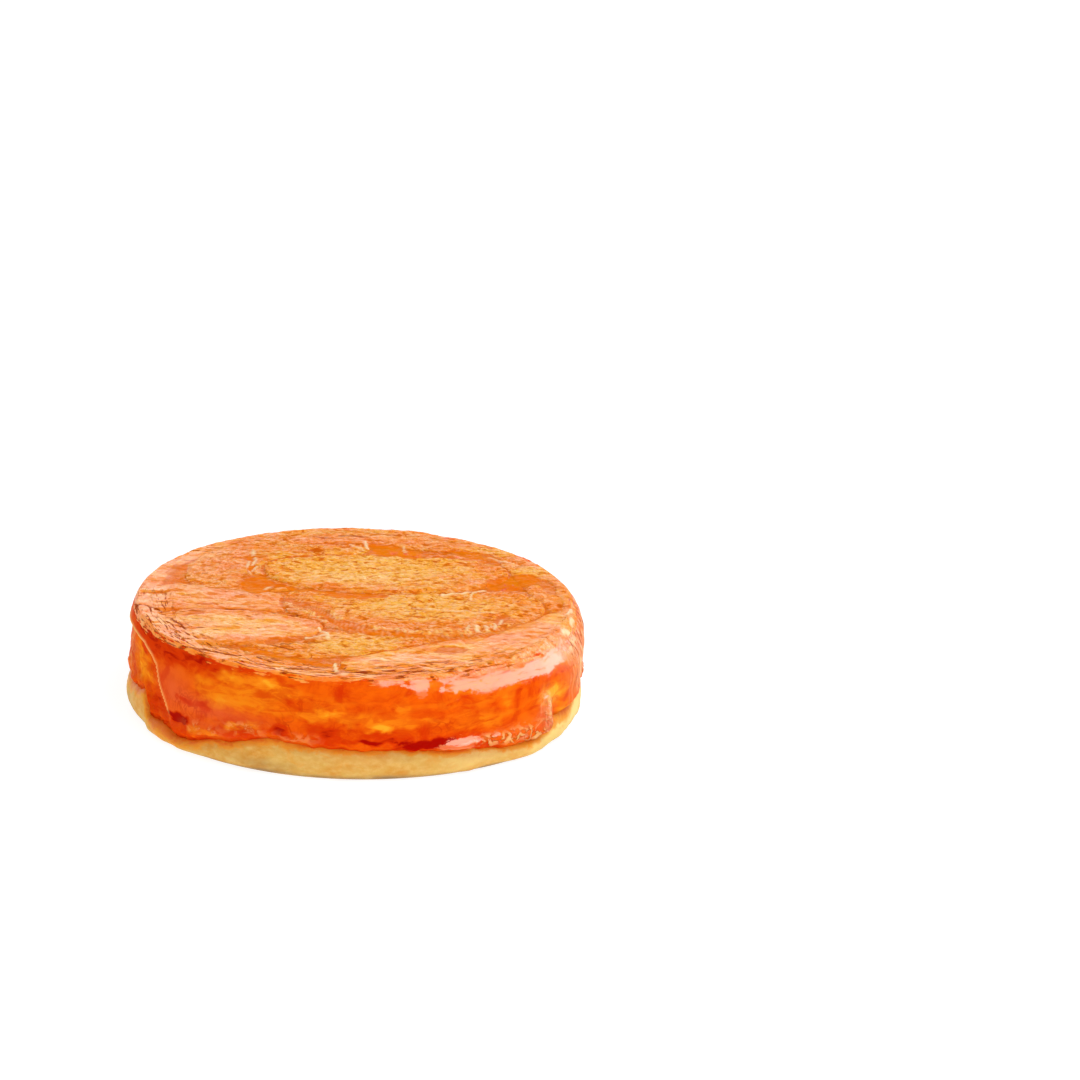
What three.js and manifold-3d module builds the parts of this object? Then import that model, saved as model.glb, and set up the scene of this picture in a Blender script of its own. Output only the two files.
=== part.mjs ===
// A single-portion tarte tatin: a disc of baked dough with a moulded block of caramelised fruit on it, and
// cooked slices that lie in the top of the block, each one tucked under the next.
// Units are millimetres and +Z is up. The tart stands on z = 0. Azimuths are degrees round Z, with 0 at the
// front (-Y) and 90 at the right (+X).
import * as THREE from "three";
import { mergeVertices } from "three/addons/utils/BufferGeometryUtils.js";
import Module from "manifold-3d";

// ---- Driving dimensions ------------------------------------------------------------------------------------

const CLEARANCE = 0.3; // between two pieces that lie side by side
const STEPS_ROUND = 120; // facets round the tart

const CRUST_RADIUS = 50;
const CRUST_OFFSET_X = -0.5; // the filling was turned out a little to the right of its crust
const CRUST_MIDDLE = 4; // the flat middle that carries the filling
const CRUST_MIDDLE_RADIUS = 42;
const CRUST_FOOT_ROUND = 2.2; // how far the lower edge rounds in
const CRUST_SHOULDER = 2; // how far the upper edge rounds in

const FILLING_RADIUS = 51.1; // at its widest
const FILLING_WIDEST = 10.5; // height of the widest place
const FILLING_TAPER = 0.6; // how much the radius shrinks at FILLING_TAPER_REACH above or below that
const FILLING_TAPER_REACH = 7.5;
const FOOT_BEAD = 0.5; // the bead of jam along the filling's lower edge
const FOOT_BEAD_TALL = 1.5;

const CARAMEL_LEVEL = 23.6; // set caramel between the slices

const SLICE_FLOOR = 19.4; // the level that all slices lie on
const SLICE_TOP = 24; // crown of a slice
const SLICE_REACH = 46.6; // the slices end this far from the axis
const SLICE_BLUNTNESS = 0.85; // exponent of the sine that gives a slice its width
const SLICE_EDGE_ROUND = 0.9; // how far a slice's long edges round down
const SLICE_TIP_DROP = 0.5; // how far its two tips sink

// The crust's upper edge rises and sags: [azimuth, height, radius more than CRUST_RADIUS].
const CRUST_EDGE = [
  [-170, 5.2, 0],
  [-145, 7.2, 0.3],
  [-122, 5.2, -0.1],
  [-98, 7, 0.4],
  [-72, 8.6, 0.8],
  [-62, 3.9, 0.9],
  [-48, 3.3, 0.9],
  [-34, 6.2, 0.5],
  [-21, 8.8, 0.3],
  [-6, 8, 0.1],
  [12, 7.2, 0],
  [30, 5.3, 0.3],
  [44, 3.3, 0.8],
  [53, 3, 1.1],
  [61, 7, 1],
  [80, 8.4, 0.8],
  [104, 6.4, 0.4],
  [128, 4.6, -0.2],
  [152, 7, 0.2],
  [172, 6.4, 0.1],
];

// The filling's rounding from its wall into its top, soft at the right: [azimuth, how tall, how deep].
const RIM_SHAPE = [
  [-170, 3.5, 2.1],
  [-100, 3, 1.7],
  [-60, 2.6, 1.5],
  [-8, 2.8, 1.6],
  [12, 5, 2.5],
  [28, 8, 3.4],
  [66, 8, 3.4],
  [86, 5.5, 2.8],
  [130, 3.5, 2.1],
];

// Lumps, folds and hollows of the moulded wall: where, how wide (degrees), how tall and how far out (mm).
const WALL_LUMPS = [
  { azimuth: -76, height: 14, wide: 7, tall: 3.6, out: -1.2 }, // hollow beneath the left fold
  { azimuth: -63, height: 9.5, wide: 4.5, tall: 3, out: -1.1 },
  { azimuth: -54, height: 10, wide: 3, tall: 4, out: 0.5 }, // edge of the fold
  { azimuth: -88, height: 9.5, wide: 4, tall: 2, out: 0.8 },
  { azimuth: 55, height: 14.2, wide: 2.6, tall: 1.4, out: -1.1 }, // notch at the right
  { azimuth: 54.5, height: 8, wide: 2, tall: 4, out: 0.7 }, // upright fold below it
  { azimuth: 60, height: 7.5, wide: 2.4, tall: 4.5, out: -1.3 },
  { azimuth: 70, height: 14, wide: 7, tall: 5, out: 0.6 }, // lobe that hangs over the crust
  { azimuth: 80, height: 8.5, wide: 5, tall: 2.5, out: -0.9 },
  { azimuth: 27, height: 8.5, wide: 6, tall: 1.8, out: 0.5 }, // thick place in the bead
  { azimuth: 43, height: 6.5, wide: 8, tall: 1.8, out: 0.5 },
  { azimuth: -40, height: 6.5, wide: 9, tall: 1.8, out: 0.4 },
  { azimuth: 100, height: 15, wide: 8, tall: 3, out: -0.8 },
  { azimuth: 118, height: 9, wide: 7, tall: 3, out: 0.6 },
  { azimuth: 140, height: 12.5, wide: 5, tall: 4, out: -1.1 },
  { azimuth: 165, height: 8.5, wide: 9, tall: 2.4, out: 0.6 },
  { azimuth: -168, height: 14, wide: 6, tall: 3, out: -0.9 },
  { azimuth: -146, height: 9, wide: 7, tall: 3, out: 0.6 },
  { azimuth: -124, height: 12, wide: 6, tall: 4, out: -1.1 },
  { azimuth: -104, height: 8.5, wide: 5, tall: 2.2, out: 0.7 },
];

// The slices, uppermost first. Seen from above, each lies along a spine from one tip to the other. The spine
// bows to its left by bow, and left and right are the slice's half widths on the spine's two sides. Lift is
// how much higher than SLICE_TOP its crown stands.
const SLICES = [
  { name: "oval", from: [-21, 20.1], to: [33.5, 20.1], bow: -2, left: 11.5, right: 13.2, lift: 0.2 },
  { name: "tongue", from: [-52, -17.4], to: [-7.5, -17.9], bow: 1, left: 9, right: 13, lift: 0.1 },
  { name: "middle", from: [-14.8, 4.1], to: [39.5, 3.6], bow: -9, left: 12, right: 17, lift: 0 },
  { name: "right", from: [-3.5, -40.4], to: [49, -2.4], bow: -9.6, left: 9.4, right: 12, lift: 0 },
  { name: "upper_left", from: [-24, 38.6], to: [-34, 6.1], bow: 0, left: 24, right: 8.2, lift: 0.1 },
  { name: "left", from: [-54, 2.1], to: [-14.3, -2.9], bow: 0, left: 8.5, right: 10.5, lift: 0 },
  { name: "behind", from: [-20.5, 31.1], to: [2.6, 35.6], bow: 0, left: 3.2, right: 6, lift: -0.1 },
  { name: "front", from: [-24.5, -33.4], to: [16, -23.4], bow: 0, left: 8.5, right: 6.8, lift: -0.1 },
  { name: "back", from: [-27, 34.1], to: [34.5, 31.1], bow: 6, left: 8, right: 3.6, lift: 0 },
  { name: "right_rim", from: [33, 34.6], to: [50, -10.4], bow: 0.6, left: 6, right: 5.4, lift: 0 },
  { name: "front_rim", from: [-44, -25.2], to: [-3.5, -46.7], bow: -3, left: 5, right: 6, lift: -0.1 },
];

// ---- Closed bodies from rings, and booleans ------------------------------------------------------------------

// A closed body through rings of points, all with the same number of points. Each ring joins the next by
// quads that are split along their shorter diagonal, so that two parallel surfaces are split alike, and the
// first and the last ring are closed by a fan to their middle.
function bodyOfRings(rings) {
  const count = rings[0].length;
  const middleOf = (ring) => ring.reduce((sum, p) => sum.add(p), new THREE.Vector3()).divideScalar(count);
  const points = [...rings.flat(), middleOf(rings[0]), middleOf(rings.at(-1))];
  const start = points.length - 2;
  const end = points.length - 1;
  const lastRing = (rings.length - 1) * count;
  const faces = [];
  const addQuad = (a, b, c, d) => {
    const splitAC = points[a].distanceToSquared(points[c]) <= points[b].distanceToSquared(points[d]);
    faces.push(...(splitAC ? [a, b, c, a, c, d] : [a, b, d, b, c, d]));
  };
  for (let i = 0; i < count; i++) {
    const j = (i + 1) % count;
    faces.push(start, j, i);
    for (let ring = 0; ring < lastRing; ring += count) {
      addQuad(ring + i, ring + j, ring + count + j, ring + count + i);
    }
    faces.push(end, lastRing + i, lastRing + j);
  }
  return new THREE.BufferGeometry().setFromPoints(points).setIndex(faces);
}

const wasm = await Module();
wasm.setup();

function solidOf(geometry) {
  geometry.deleteAttribute("normal");
  geometry.deleteAttribute("uv");
  const merged = mergeVertices(geometry, 1e-4);
  return new wasm.Manifold(
    new wasm.Mesh({
      numProp: 3,
      vertProperties: merged.attributes.position.array,
      triVerts: new Uint32Array(merged.index.array),
    }),
  );
}

// The solid's largest body, without the loose scraps that a cut can leave.
function largestBody(solid) {
  return solid.decompose().reduce((a, b) => (a.volume() > b.volume() ? a : b));
}

function geometryOf(solid) {
  const mesh = solid.getMesh();
  const geometry = new THREE.BufferGeometry();
  geometry.setAttribute("position", new THREE.BufferAttribute(mesh.vertProperties, 3));
  geometry.setIndex(new THREE.BufferAttribute(mesh.triVerts, 1));
  geometry.computeVertexNormals();
  return geometry;
}

function union(solids) {
  return solids.reduce((all, one) => all.add(one));
}

// ---- Forms shared by the crust and the filling ---------------------------------------------------------------

const AZIMUTHS = Array.from({ length: STEPS_ROUND }, (_, i) => -180 + (360 * i) / STEPS_ROUND);

// A row of a table of azimuths, eased from each named place to the next.
function easedRow(table, azimuth) {
  const next = table.findIndex(([at]) => at > azimuth);
  const a = next <= 0 ? table.at(-1) : table[next - 1];
  const b = next < 0 ? table[0] : table[next];
  const turn = (angle) => THREE.MathUtils.euclideanModulo(angle, 360);
  const way = THREE.MathUtils.smoothstep(turn(azimuth - a[0]) / turn(b[0] - a[0]), 0, 1);
  return a.map((value, k) => THREE.MathUtils.lerp(value, b[k], way));
}

function crustEdge(azimuth) {
  const [, height, extraRadius] = easedRow(CRUST_EDGE, azimuth);
  return { height, radius: CRUST_RADIUS + extraRadius };
}

function rimShape(azimuth) {
  const [, tall, deep] = easedRow(RIM_SHAPE, azimuth);
  return { tall, deep };
}

// One ring round an axis at x = middleX. place(azimuth) gives its radius and height there.
function ringRound(middleX, place) {
  return AZIMUTHS.map((azimuth) => {
    const angle = THREE.MathUtils.degToRad(azimuth);
    const { radius, height } = place(azimuth);
    return new THREE.Vector3(middleX + radius * Math.sin(angle), -radius * Math.cos(angle), height);
  });
}

// ---- The crust -------------------------------------------------------------------------------------------------

// From the flat underside out round the foot, up the edge, over the shoulder and in to the flat middle.
function crust() {
  const ring = (place) => ringRound(CRUST_OFFSET_X, (azimuth) => place(crustEdge(azimuth)));
  return bodyOfRings([
    ring((edge) => ({ radius: edge.radius - CRUST_FOOT_ROUND, height: 0 })),
    ring((edge) => ({ radius: edge.radius - 0.35 * CRUST_FOOT_ROUND, height: 0.12 * edge.height })),
    ring((edge) => ({ radius: edge.radius - 0.05 * CRUST_FOOT_ROUND, height: 0.3 * edge.height })),
    ring((edge) => ({ radius: edge.radius, height: 0.55 * edge.height })),
    ring((edge) => ({ radius: edge.radius - 0.15 * CRUST_SHOULDER, height: 0.8 * edge.height })),
    ring((edge) => ({ radius: edge.radius - 0.5 * CRUST_SHOULDER, height: 0.95 * edge.height })),
    ring((edge) => ({ radius: edge.radius - CRUST_SHOULDER, height: edge.height })),
    ring((edge) => ({ radius: edge.radius - 2 * CRUST_SHOULDER, height: edge.height })),
    ring(() => ({ radius: CRUST_MIDDLE_RADIUS, height: CRUST_MIDDLE })),
  ]);
}

// ---- The filling -----------------------------------------------------------------------------------------------

// How far the lumps push the wall out at an azimuth and a height. Each fades as a bell curve.
function wallRelief(azimuth, height) {
  return WALL_LUMPS.reduce((sum, lump) => {
    const away = THREE.MathUtils.euclideanModulo(azimuth - lump.azimuth + 180, 360) - 180;
    const rise = height - lump.height;
    return sum + lump.out * Math.exp(-((away / lump.wide) ** 2) - (rise / lump.tall) ** 2);
  }, 0);
}

// The wall's radius: a barrel, the bead along the foot and the lumps.
function wallRadius(azimuth, height) {
  const foot = crustEdge(azimuth).height;
  const barrel = FILLING_TAPER * ((height - FILLING_WIDEST) / FILLING_TAPER_REACH) ** 2;
  const bead = FOOT_BEAD * Math.exp(-(((height - foot - FOOT_BEAD_TALL) / FOOT_BEAD_TALL) ** 2));
  return FILLING_RADIUS - barrel + bead + wallRelief(azimuth, height);
}

// The whole block before the slices are let in: over the crust's shoulder, up the wall, round the rim.
function fillingBlock() {
  const overCrust = (outward) =>
    ringRound(CRUST_OFFSET_X, (azimuth) => {
      const edge = crustEdge(azimuth);
      return { radius: edge.radius + outward, height: edge.height + CLEARANCE };
    });
  const rings = [
    ringRound(CRUST_OFFSET_X, () => ({ radius: CRUST_MIDDLE_RADIUS, height: CRUST_MIDDLE })),
    ringRound(CRUST_OFFSET_X, () => ({ radius: CRUST_MIDDLE_RADIUS, height: CRUST_MIDDLE + CLEARANCE })),
    overCrust(-2 * CRUST_SHOULDER),
    overCrust(-CRUST_SHOULDER),
    overCrust(0),
  ];
  for (const way of [0.05, 0.13, 0.24, 0.36, 0.48, 0.6, 0.72, 0.84, 0.93, 1]) {
    rings.push(
      ringRound(0, (azimuth) => {
        const foot = crustEdge(azimuth).height + CLEARANCE;
        const height = THREE.MathUtils.lerp(foot, CARAMEL_LEVEL - rimShape(azimuth).tall, way);
        return { radius: wallRadius(azimuth, height), height };
      }),
    );
  }
  for (const turn of [22.5, 45, 67.5, 90]) {
    const angle = THREE.MathUtils.degToRad(turn);
    rings.push(
      ringRound(0, (azimuth) => {
        const { tall, deep } = rimShape(azimuth);
        const wallTop = CARAMEL_LEVEL - tall;
        return {
          radius: wallRadius(azimuth, wallTop) - deep * (1 - Math.cos(angle)),
          height: wallTop + tall * Math.sin(angle),
        };
      }),
    );
  }
  return bodyOfRings(rings);
}

// ---- The slices --------------------------------------------------------------------------------------------------

const STATIONS = 20; // cross-sections along a slice
const TIP_ANGLE = 0.02 * Math.PI; // how near the stations come to the tips, where a slice has no width

// Stations along a slice: points on its left and right edges, margin wider than the slice itself, and how
// full it is there, from 0 at a tip to 1 halfway.
function stationsOf({ from, to, bow, left, right }, margin) {
  const start = new THREE.Vector2(...from);
  const along = new THREE.Vector2(...to).sub(start);
  const span = along.length();
  along.divideScalar(span);
  const across = new THREE.Vector2(-along.y, along.x);
  return Array.from({ length: STATIONS }, (_, i) => {
    const angle = THREE.MathUtils.lerp(TIP_ANGLE, Math.PI - TIP_ANGLE, i / (STATIONS - 1));
    const way = (1 - Math.cos(angle)) / 2;
    const full = Math.sin(angle) ** SLICE_BLUNTNESS;
    const middle = start
      .clone()
      .addScaledVector(along, way * (span + 2 * margin) - margin)
      .addScaledVector(across, 4 * way * (1 - way) * bow);
    const slope = (4 * (1 - 2 * way) * bow) / span;
    const normal = across.clone().addScaledVector(along, -slope).normalize();
    return {
      left: middle.clone().addScaledVector(normal, (left + margin) * full),
      right: middle.clone().addScaledVector(normal, -(right + margin) * full),
      full,
    };
  });
}

// A straight-sided prism over a slice's outline, from one level up to another.
function prismOver(slice, margin, bottom, top) {
  const rings = stationsOf(slice, margin).map(({ left, right }) => [
    new THREE.Vector3(right.x, right.y, bottom),
    new THREE.Vector3(left.x, left.y, bottom),
    new THREE.Vector3(left.x, left.y, top),
    new THREE.Vector3(right.x, right.y, top),
  ]);
  return solidOf(bodyOfRings(rings));
}

// A slice's back from its left edge, 1, to its right edge, -1, and how far each place lies below the crown,
// in shares of SLICE_EDGE_ROUND.
const BACK_PROFILE = [
  [1, 1],
  [0.9, 0.34],
  [0.5, 0.05],
  [0, 0],
  [-0.5, 0.05],
  [-0.9, 0.34],
  [-1, 1],
];

// A slice before its neighbours are cut out of it: flat underneath, with a crowned back that sinks at the tips.
function sliceSlab(slice) {
  const crown = SLICE_TOP + slice.lift;
  const rings = stationsOf(slice, 0).map(({ left, right, full }) => {
    const back = crown - SLICE_TIP_DROP * (1 - full) ** 2;
    const middle = left.clone().add(right).divideScalar(2);
    const onBack = ([side, drop]) => {
      const place = middle.clone().lerp(side > 0 ? left : right, Math.abs(side));
      return new THREE.Vector3(place.x, place.y, back - drop * SLICE_EDGE_ROUND);
    };
    return [
      new THREE.Vector3(right.x, right.y, SLICE_FLOOR),
      new THREE.Vector3(left.x, left.y, SLICE_FLOOR),
      ...BACK_PROFILE.map(onBack),
    ];
  });
  return solidOf(bodyOfRings(rings));
}

// An upright disc, the room that slices or their pockets may take.
function disc(radius, bottom, top) {
  const geometry = new THREE.CylinderGeometry(radius, radius, top - bottom, STEPS_ROUND);
  geometry.rotateX(Math.PI / 2);
  geometry.translate(0, 0, (bottom + top) / 2);
  return solidOf(geometry);
}

// ---- Assembly ----------------------------------------------------------------------------------------------------

const MATERIALS = {
  crust: new THREE.MeshStandardMaterial({ color: 0xdcb878, roughness: 0.8, metalness: 0 }),
  caramel: new THREE.MeshStandardMaterial({ color: 0xd95a0c, roughness: 0.15, metalness: 0 }),
  slice: new THREE.MeshStandardMaterial({ color: 0xe8943c, roughness: 0.25, metalness: 0 }),
};

const tart = new THREE.Group();

function addPiece(name, geometry, material) {
  const piece = new THREE.Mesh(geometry, material);
  piece.name = name;
  tart.add(piece);
}

const ABOVE_ALL = SLICE_TOP + 4;
const BELOW_SLICES = SLICE_FLOOR - 1;

addPiece("pastry_base", crust(), MATERIALS.crust);

const pockets = union(SLICES.map((slice) => prismOver(slice, CLEARANCE, SLICE_FLOOR, ABOVE_ALL)));
const pocketRoom = disc(SLICE_REACH + CLEARANCE, BELOW_SLICES, ABOVE_ALL);
const filling = solidOf(fillingBlock()).subtract(pockets.intersect(pocketRoom));
addPiece("caramel_filling", geometryOf(largestBody(filling)), MATERIALS.caramel);

const sliceRoom = disc(SLICE_REACH, BELOW_SLICES, ABOVE_ALL);
SLICES.forEach((slice, i) => {
  const above = SLICES.slice(0, i).map((upper) => prismOver(upper, CLEARANCE, BELOW_SLICES, ABOVE_ALL));
  const whole = sliceSlab(slice).intersect(sliceRoom);
  const cut = above.length ? whole.subtract(union(above)) : whole;
  addPiece("apple_slice_" + slice.name, geometryOf(largestBody(cut)), MATERIALS.slice);
});

// The origin is the middle of the tart's box, on the surface that it stands on.
const middle = new THREE.Box3().setFromObject(tart).getCenter(new THREE.Vector3());
tart.position.set(-middle.x, -middle.y, 0);

export default tart;
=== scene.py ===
"""The looks of a single-portion tarte tatin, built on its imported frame.

Lengths in the tables are millimetres and azimuths are degrees round Z, with 0 at the front (-Y)
and 90 at the right (+X). The pieces are surfaces worked out on grids with numpy. Each one replaces
its plain solid.
"""

import itertools
import math

import bpy
import numpy as np
from mathutils import Matrix, Vector


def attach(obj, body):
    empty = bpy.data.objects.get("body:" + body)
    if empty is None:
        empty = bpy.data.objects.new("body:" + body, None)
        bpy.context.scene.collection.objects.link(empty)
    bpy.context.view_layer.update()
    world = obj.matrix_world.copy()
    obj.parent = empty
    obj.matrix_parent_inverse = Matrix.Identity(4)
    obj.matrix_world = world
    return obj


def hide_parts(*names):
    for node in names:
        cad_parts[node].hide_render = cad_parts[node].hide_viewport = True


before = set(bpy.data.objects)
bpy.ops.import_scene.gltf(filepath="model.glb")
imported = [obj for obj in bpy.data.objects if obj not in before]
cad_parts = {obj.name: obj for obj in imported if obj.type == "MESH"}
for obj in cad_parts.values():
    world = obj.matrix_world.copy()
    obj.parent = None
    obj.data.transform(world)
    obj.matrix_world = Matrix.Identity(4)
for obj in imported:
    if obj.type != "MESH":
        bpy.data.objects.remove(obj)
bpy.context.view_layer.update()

bl_info = {
    "name": "Tarte Tatin",
    "version": (1, 0, 0),
    "blender": (4, 5, 0),
    "location": "3D View > Sidebar > Tart",
    "description": "Crust, caramel filling, glazed slices and studio of a small tarte tatin",
    "category": "Add Mesh",
}

MM = 0.001
BODY = "root"

# The middle of the filling lies here, seen from the middle of the tart's box.
FILLING_MIDDLE = np.array([0.32, 0.03, 0.0])
CRUST_MIDDLE = FILLING_MIDDLE + np.array([-0.5, 0.0, 0.0])

# ---- Tables of the tart's own forms --------------------------------------------------------------

# The crust's upper edge: azimuth, height, radius more than the crust's.
CRUST_EDGE = (
    (-170, 5.2, 0.0),
    (-145, 7.2, 0.3),
    (-122, 5.2, -0.1),
    (-98, 6.6, -0.2),
    (-82, 6.2, 0.3),
    (-73, 7.6, 0.5),
    (-67, 9.0, 0.6),
    (-63.5, 4.0, 0.9),
    (-56, 4.4, 0.9),
    (-49, 3.0, 0.9),
    (-34, 6.2, 0.5),
    (-21, 8.8, 0.3),
    (-6, 8.0, 0.1),
    (12, 7.5, 0.0),
    (30, 6.3, 0.3),
    (44, 4.5, 0.8),
    (53, 4.0, 1.1),
    (61, 7.0, 1.0),
    (80, 8.4, 0.8),
    (104, 6.4, 0.4),
    (128, 4.6, -0.2),
    (152, 7.0, 0.2),
    (172, 6.4, 0.1),
)

# Lumps and hollows of the wall: azimuth, height, width in degrees, height of the lump, how far out.
WALL_LUMPS = (
    (-76, 14.5, 7.0, 3.6, -0.6),
    (-63, 10.0, 4.5, 3.0, -0.6),
    (-88, 10.0, 4.0, 2.0, 0.2),
    (55, 14.7, 2.6, 1.4, -1.1),
    (54.5, 8.5, 1.6, 4.2, 0.9),
    (60, 8.0, 2.4, 4.5, -1.4),
    (70, 14.5, 7.0, 5.0, 0.6),
    (80, 9.0, 5.0, 2.5, -0.9),
    (28, 6.8, 6.0, 2.0, 1.0),
    (43, 6.7, 8.0, 1.8, 0.7),
    (-40, 7.0, 9.0, 1.8, 0.4),
    (112, 15.5, 8.0, 3.0, -0.6),
    (118, 9.5, 7.0, 3.0, 0.6),
    (140, 13.0, 5.0, 4.0, -1.1),
    (165, 9.0, 9.0, 2.4, 0.6),
    (-168, 14.5, 6.0, 3.0, -0.9),
    (-146, 9.5, 7.0, 3.0, 0.6),
    (-124, 12.5, 6.0, 4.0, -1.1),
    (-104, 9.0, 5.0, 2.2, 0.7),
    (60, 15.5, 12.0, 3.0, 0.6),
    (92, 11.5, 13.0, 4.5, -1.3),
    (-44, 5.6, 5.0, 1.6, 0.5),
    (-78, 9.2, 10.0, 3.0, -0.6),
    (55.5, 8.0, 2.2, 4.5, 0.5),
)

# The edge of the smooth skin at the left, as azimuth and height. Below and left of it the fruit
# lies bare.
SKIN_EDGE = (
    (-112, 18.0),
    (-98, 20.1),
    (-85, 19.9),
    (-77, 20.0),
    (-68, 19.8),
    (-62.3, 18.5),
    (-59.5, 17.3),
    (-58.4, 15.6),
    (-57.2, 13.4),
    (-55.7, 11.6),
    (-54.2, 9.9),
    (-52.5, 7.0),
    (-50.5, 3.5),
)

# Fruit that shines through the wall: azimuth, height, width in degrees, tall, strength.
GOLDEN_PATCHES = (
    (-34, 21.0, 5.0, 1.2, 0.9),
    (-42, 18.3, 4.0, 1.6, 0.4),
    (-23, 21.2, 5.0, 1.1, 1.0),
    (-17, 19.4, 6.0, 1.6, 0.6),
    (-30, 18.6, 7.0, 1.6, 0.55),
    (-36, 15.2, 7.0, 2.2, 0.7),
    (-25, 15.6, 8.0, 2.0, 0.5),
    (-11, 15.0, 5.0, 1.2, 0.5),
    (-6.5, 16.2, 3.2, 0.9, 1.0),
    (-4, 18.3, 8.0, 1.2, 0.3),
    (-31.5, 10.0, 2.2, 1.2, 0.7),
    (-27, 11.5, 3.0, 1.0, 0.7),
    (-37.5, 7.2, 3.5, 1.0, 0.6),
    (-43, 7.0, 2.5, 1.2, 0.5),
    (-14, 8.5, 5.0, 0.9, 0.4),
    (6, 12.8, 2.6, 0.8, 1.3),
    (7, 15.0, 9.0, 2.0, 0.5),
    (11.5, 18.0, 1.3, 2.2, 0.4),
    (-2, 14.6, 4.0, 0.8, 0.5),
    (15, 13.8, 6.0, 1.2, 0.4),
    (20, 17.5, 6.0, 1.0, 0.25),
    (28, 13.4, 7.0, 2.2, 0.45),
    (34, 17.0, 8.0, 1.4, 0.35),
    (36, 12.0, 6.0, 2.0, 0.35),
    (41, 15.3, 1.5, 2.0, 0.4),
    (46, 13.0, 6.0, 2.4, 0.2),
    (56, 13.5, 5.0, 2.6, 0.7),
    (58, 14.2, 1.8, 1.0, 1.1),
    (63.5, 7.5, 3.0, 1.6, 0.9),
    (74, 15.5, 9.0, 5.0, 0.7),
    (-72, 14.2, 6.5, 3.0, 0.75),
    (-64, 12.6, 2.4, 1.2, 0.5),
    (95, 12.5, 7.0, 3.0, 0.8),
    (125, 16.5, 9.0, 2.4, 0.8),
    (150, 12.5, 8.0, 3.0, 0.6),
    (178, 17.0, 9.0, 2.6, 0.9),
    (-158, 12.5, 8.0, 3.0, 0.6),
    (-132, 17.0, 8.0, 2.6, 0.9),
    (-108, 13.0, 6.0, 3.0, 0.6),
    (30, 20.6, 7.0, 1.6, 0.7),
    (43, 20.3, 8.0, 1.8, 0.5),
    (57, 20.0, 9.0, 2.0, 0.4),
    (68, 20.0, 6.0, 2.4, 0.4),
    (17, 22.0, 4.0, 1.2, 0.6),
    (61, 12.0, 3.0, 2.0, 0.8),
)

# Dark red jam in the thick places: azimuth, height, width in degrees, tall, strength.
DARK_PATCHES = (
    (-64, 21.5, 20.0, 2.8, 1.3),
    (-42, 22.4, 7.0, 1.6, 0.8),
    (-49, 7.8, 3.3, 0.9, 4.5),
    (-60, 8.2, 5.0, 2.6, 0.8),
    (-47, 12.6, 4.0, 0.9, 0.8),
    (-40, 12.8, 3.0, 1.2, 0.7),
    (-18.5, 11.3, 2.4, 1.5, 1.1),
    (-7, 12.0, 3.2, 1.5, 1.1),
    (6, 10.0, 8.0, 0.5, 1.2),
    (-14, 18.0, 3.0, 0.7, 0.5),
    (18.5, 8.9, 6.5, 0.9, 3.8),
    (8, 9.7, 9.0, 0.7, 0.4),
    (22, 12.5, 3.2, 0.9, 0.4),
    (45, 17.4, 4.0, 0.6, 0.8),
    (60, 17.4, 5.0, 0.6, 0.8),
    (55, 15.6, 3.0, 0.8, 0.6),
    (60, 8.0, 2.4, 2.5, 0.4),
    (-34, 19.2, 3.0, 0.4, 0.5),
    (-70, 17.4, 2.4, 1.2, 0.6),
    (-76, 10.5, 3.0, 2.0, 0.4),
    (-59.5, 10.6, 2.0, 2.0, 0.5),
    (-60, 15.8, 1.4, 1.2, 0.7),
    (-45, 4.6, 8.0, 0.6, 0.7),
    (-26, 8.6, 6.0, 0.5, 0.5),
    (110, 8.5, 6.0, 1.4, 0.9),
    (145, 9.5, 6.0, 1.4, 0.7),
    (-175, 8.9, 8.0, 1.2, 0.9),
    (-140, 9.3, 6.0, 1.4, 0.7),
    (-95, 11.0, 4.0, 1.8, 0.6),
    (0, 11.0, 9.0, 1.6, 0.5),
    (14, 15.0, 7.0, 1.4, 0.35),
    (30, 10.5, 8.0, 1.0, 0.3),
)

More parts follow.
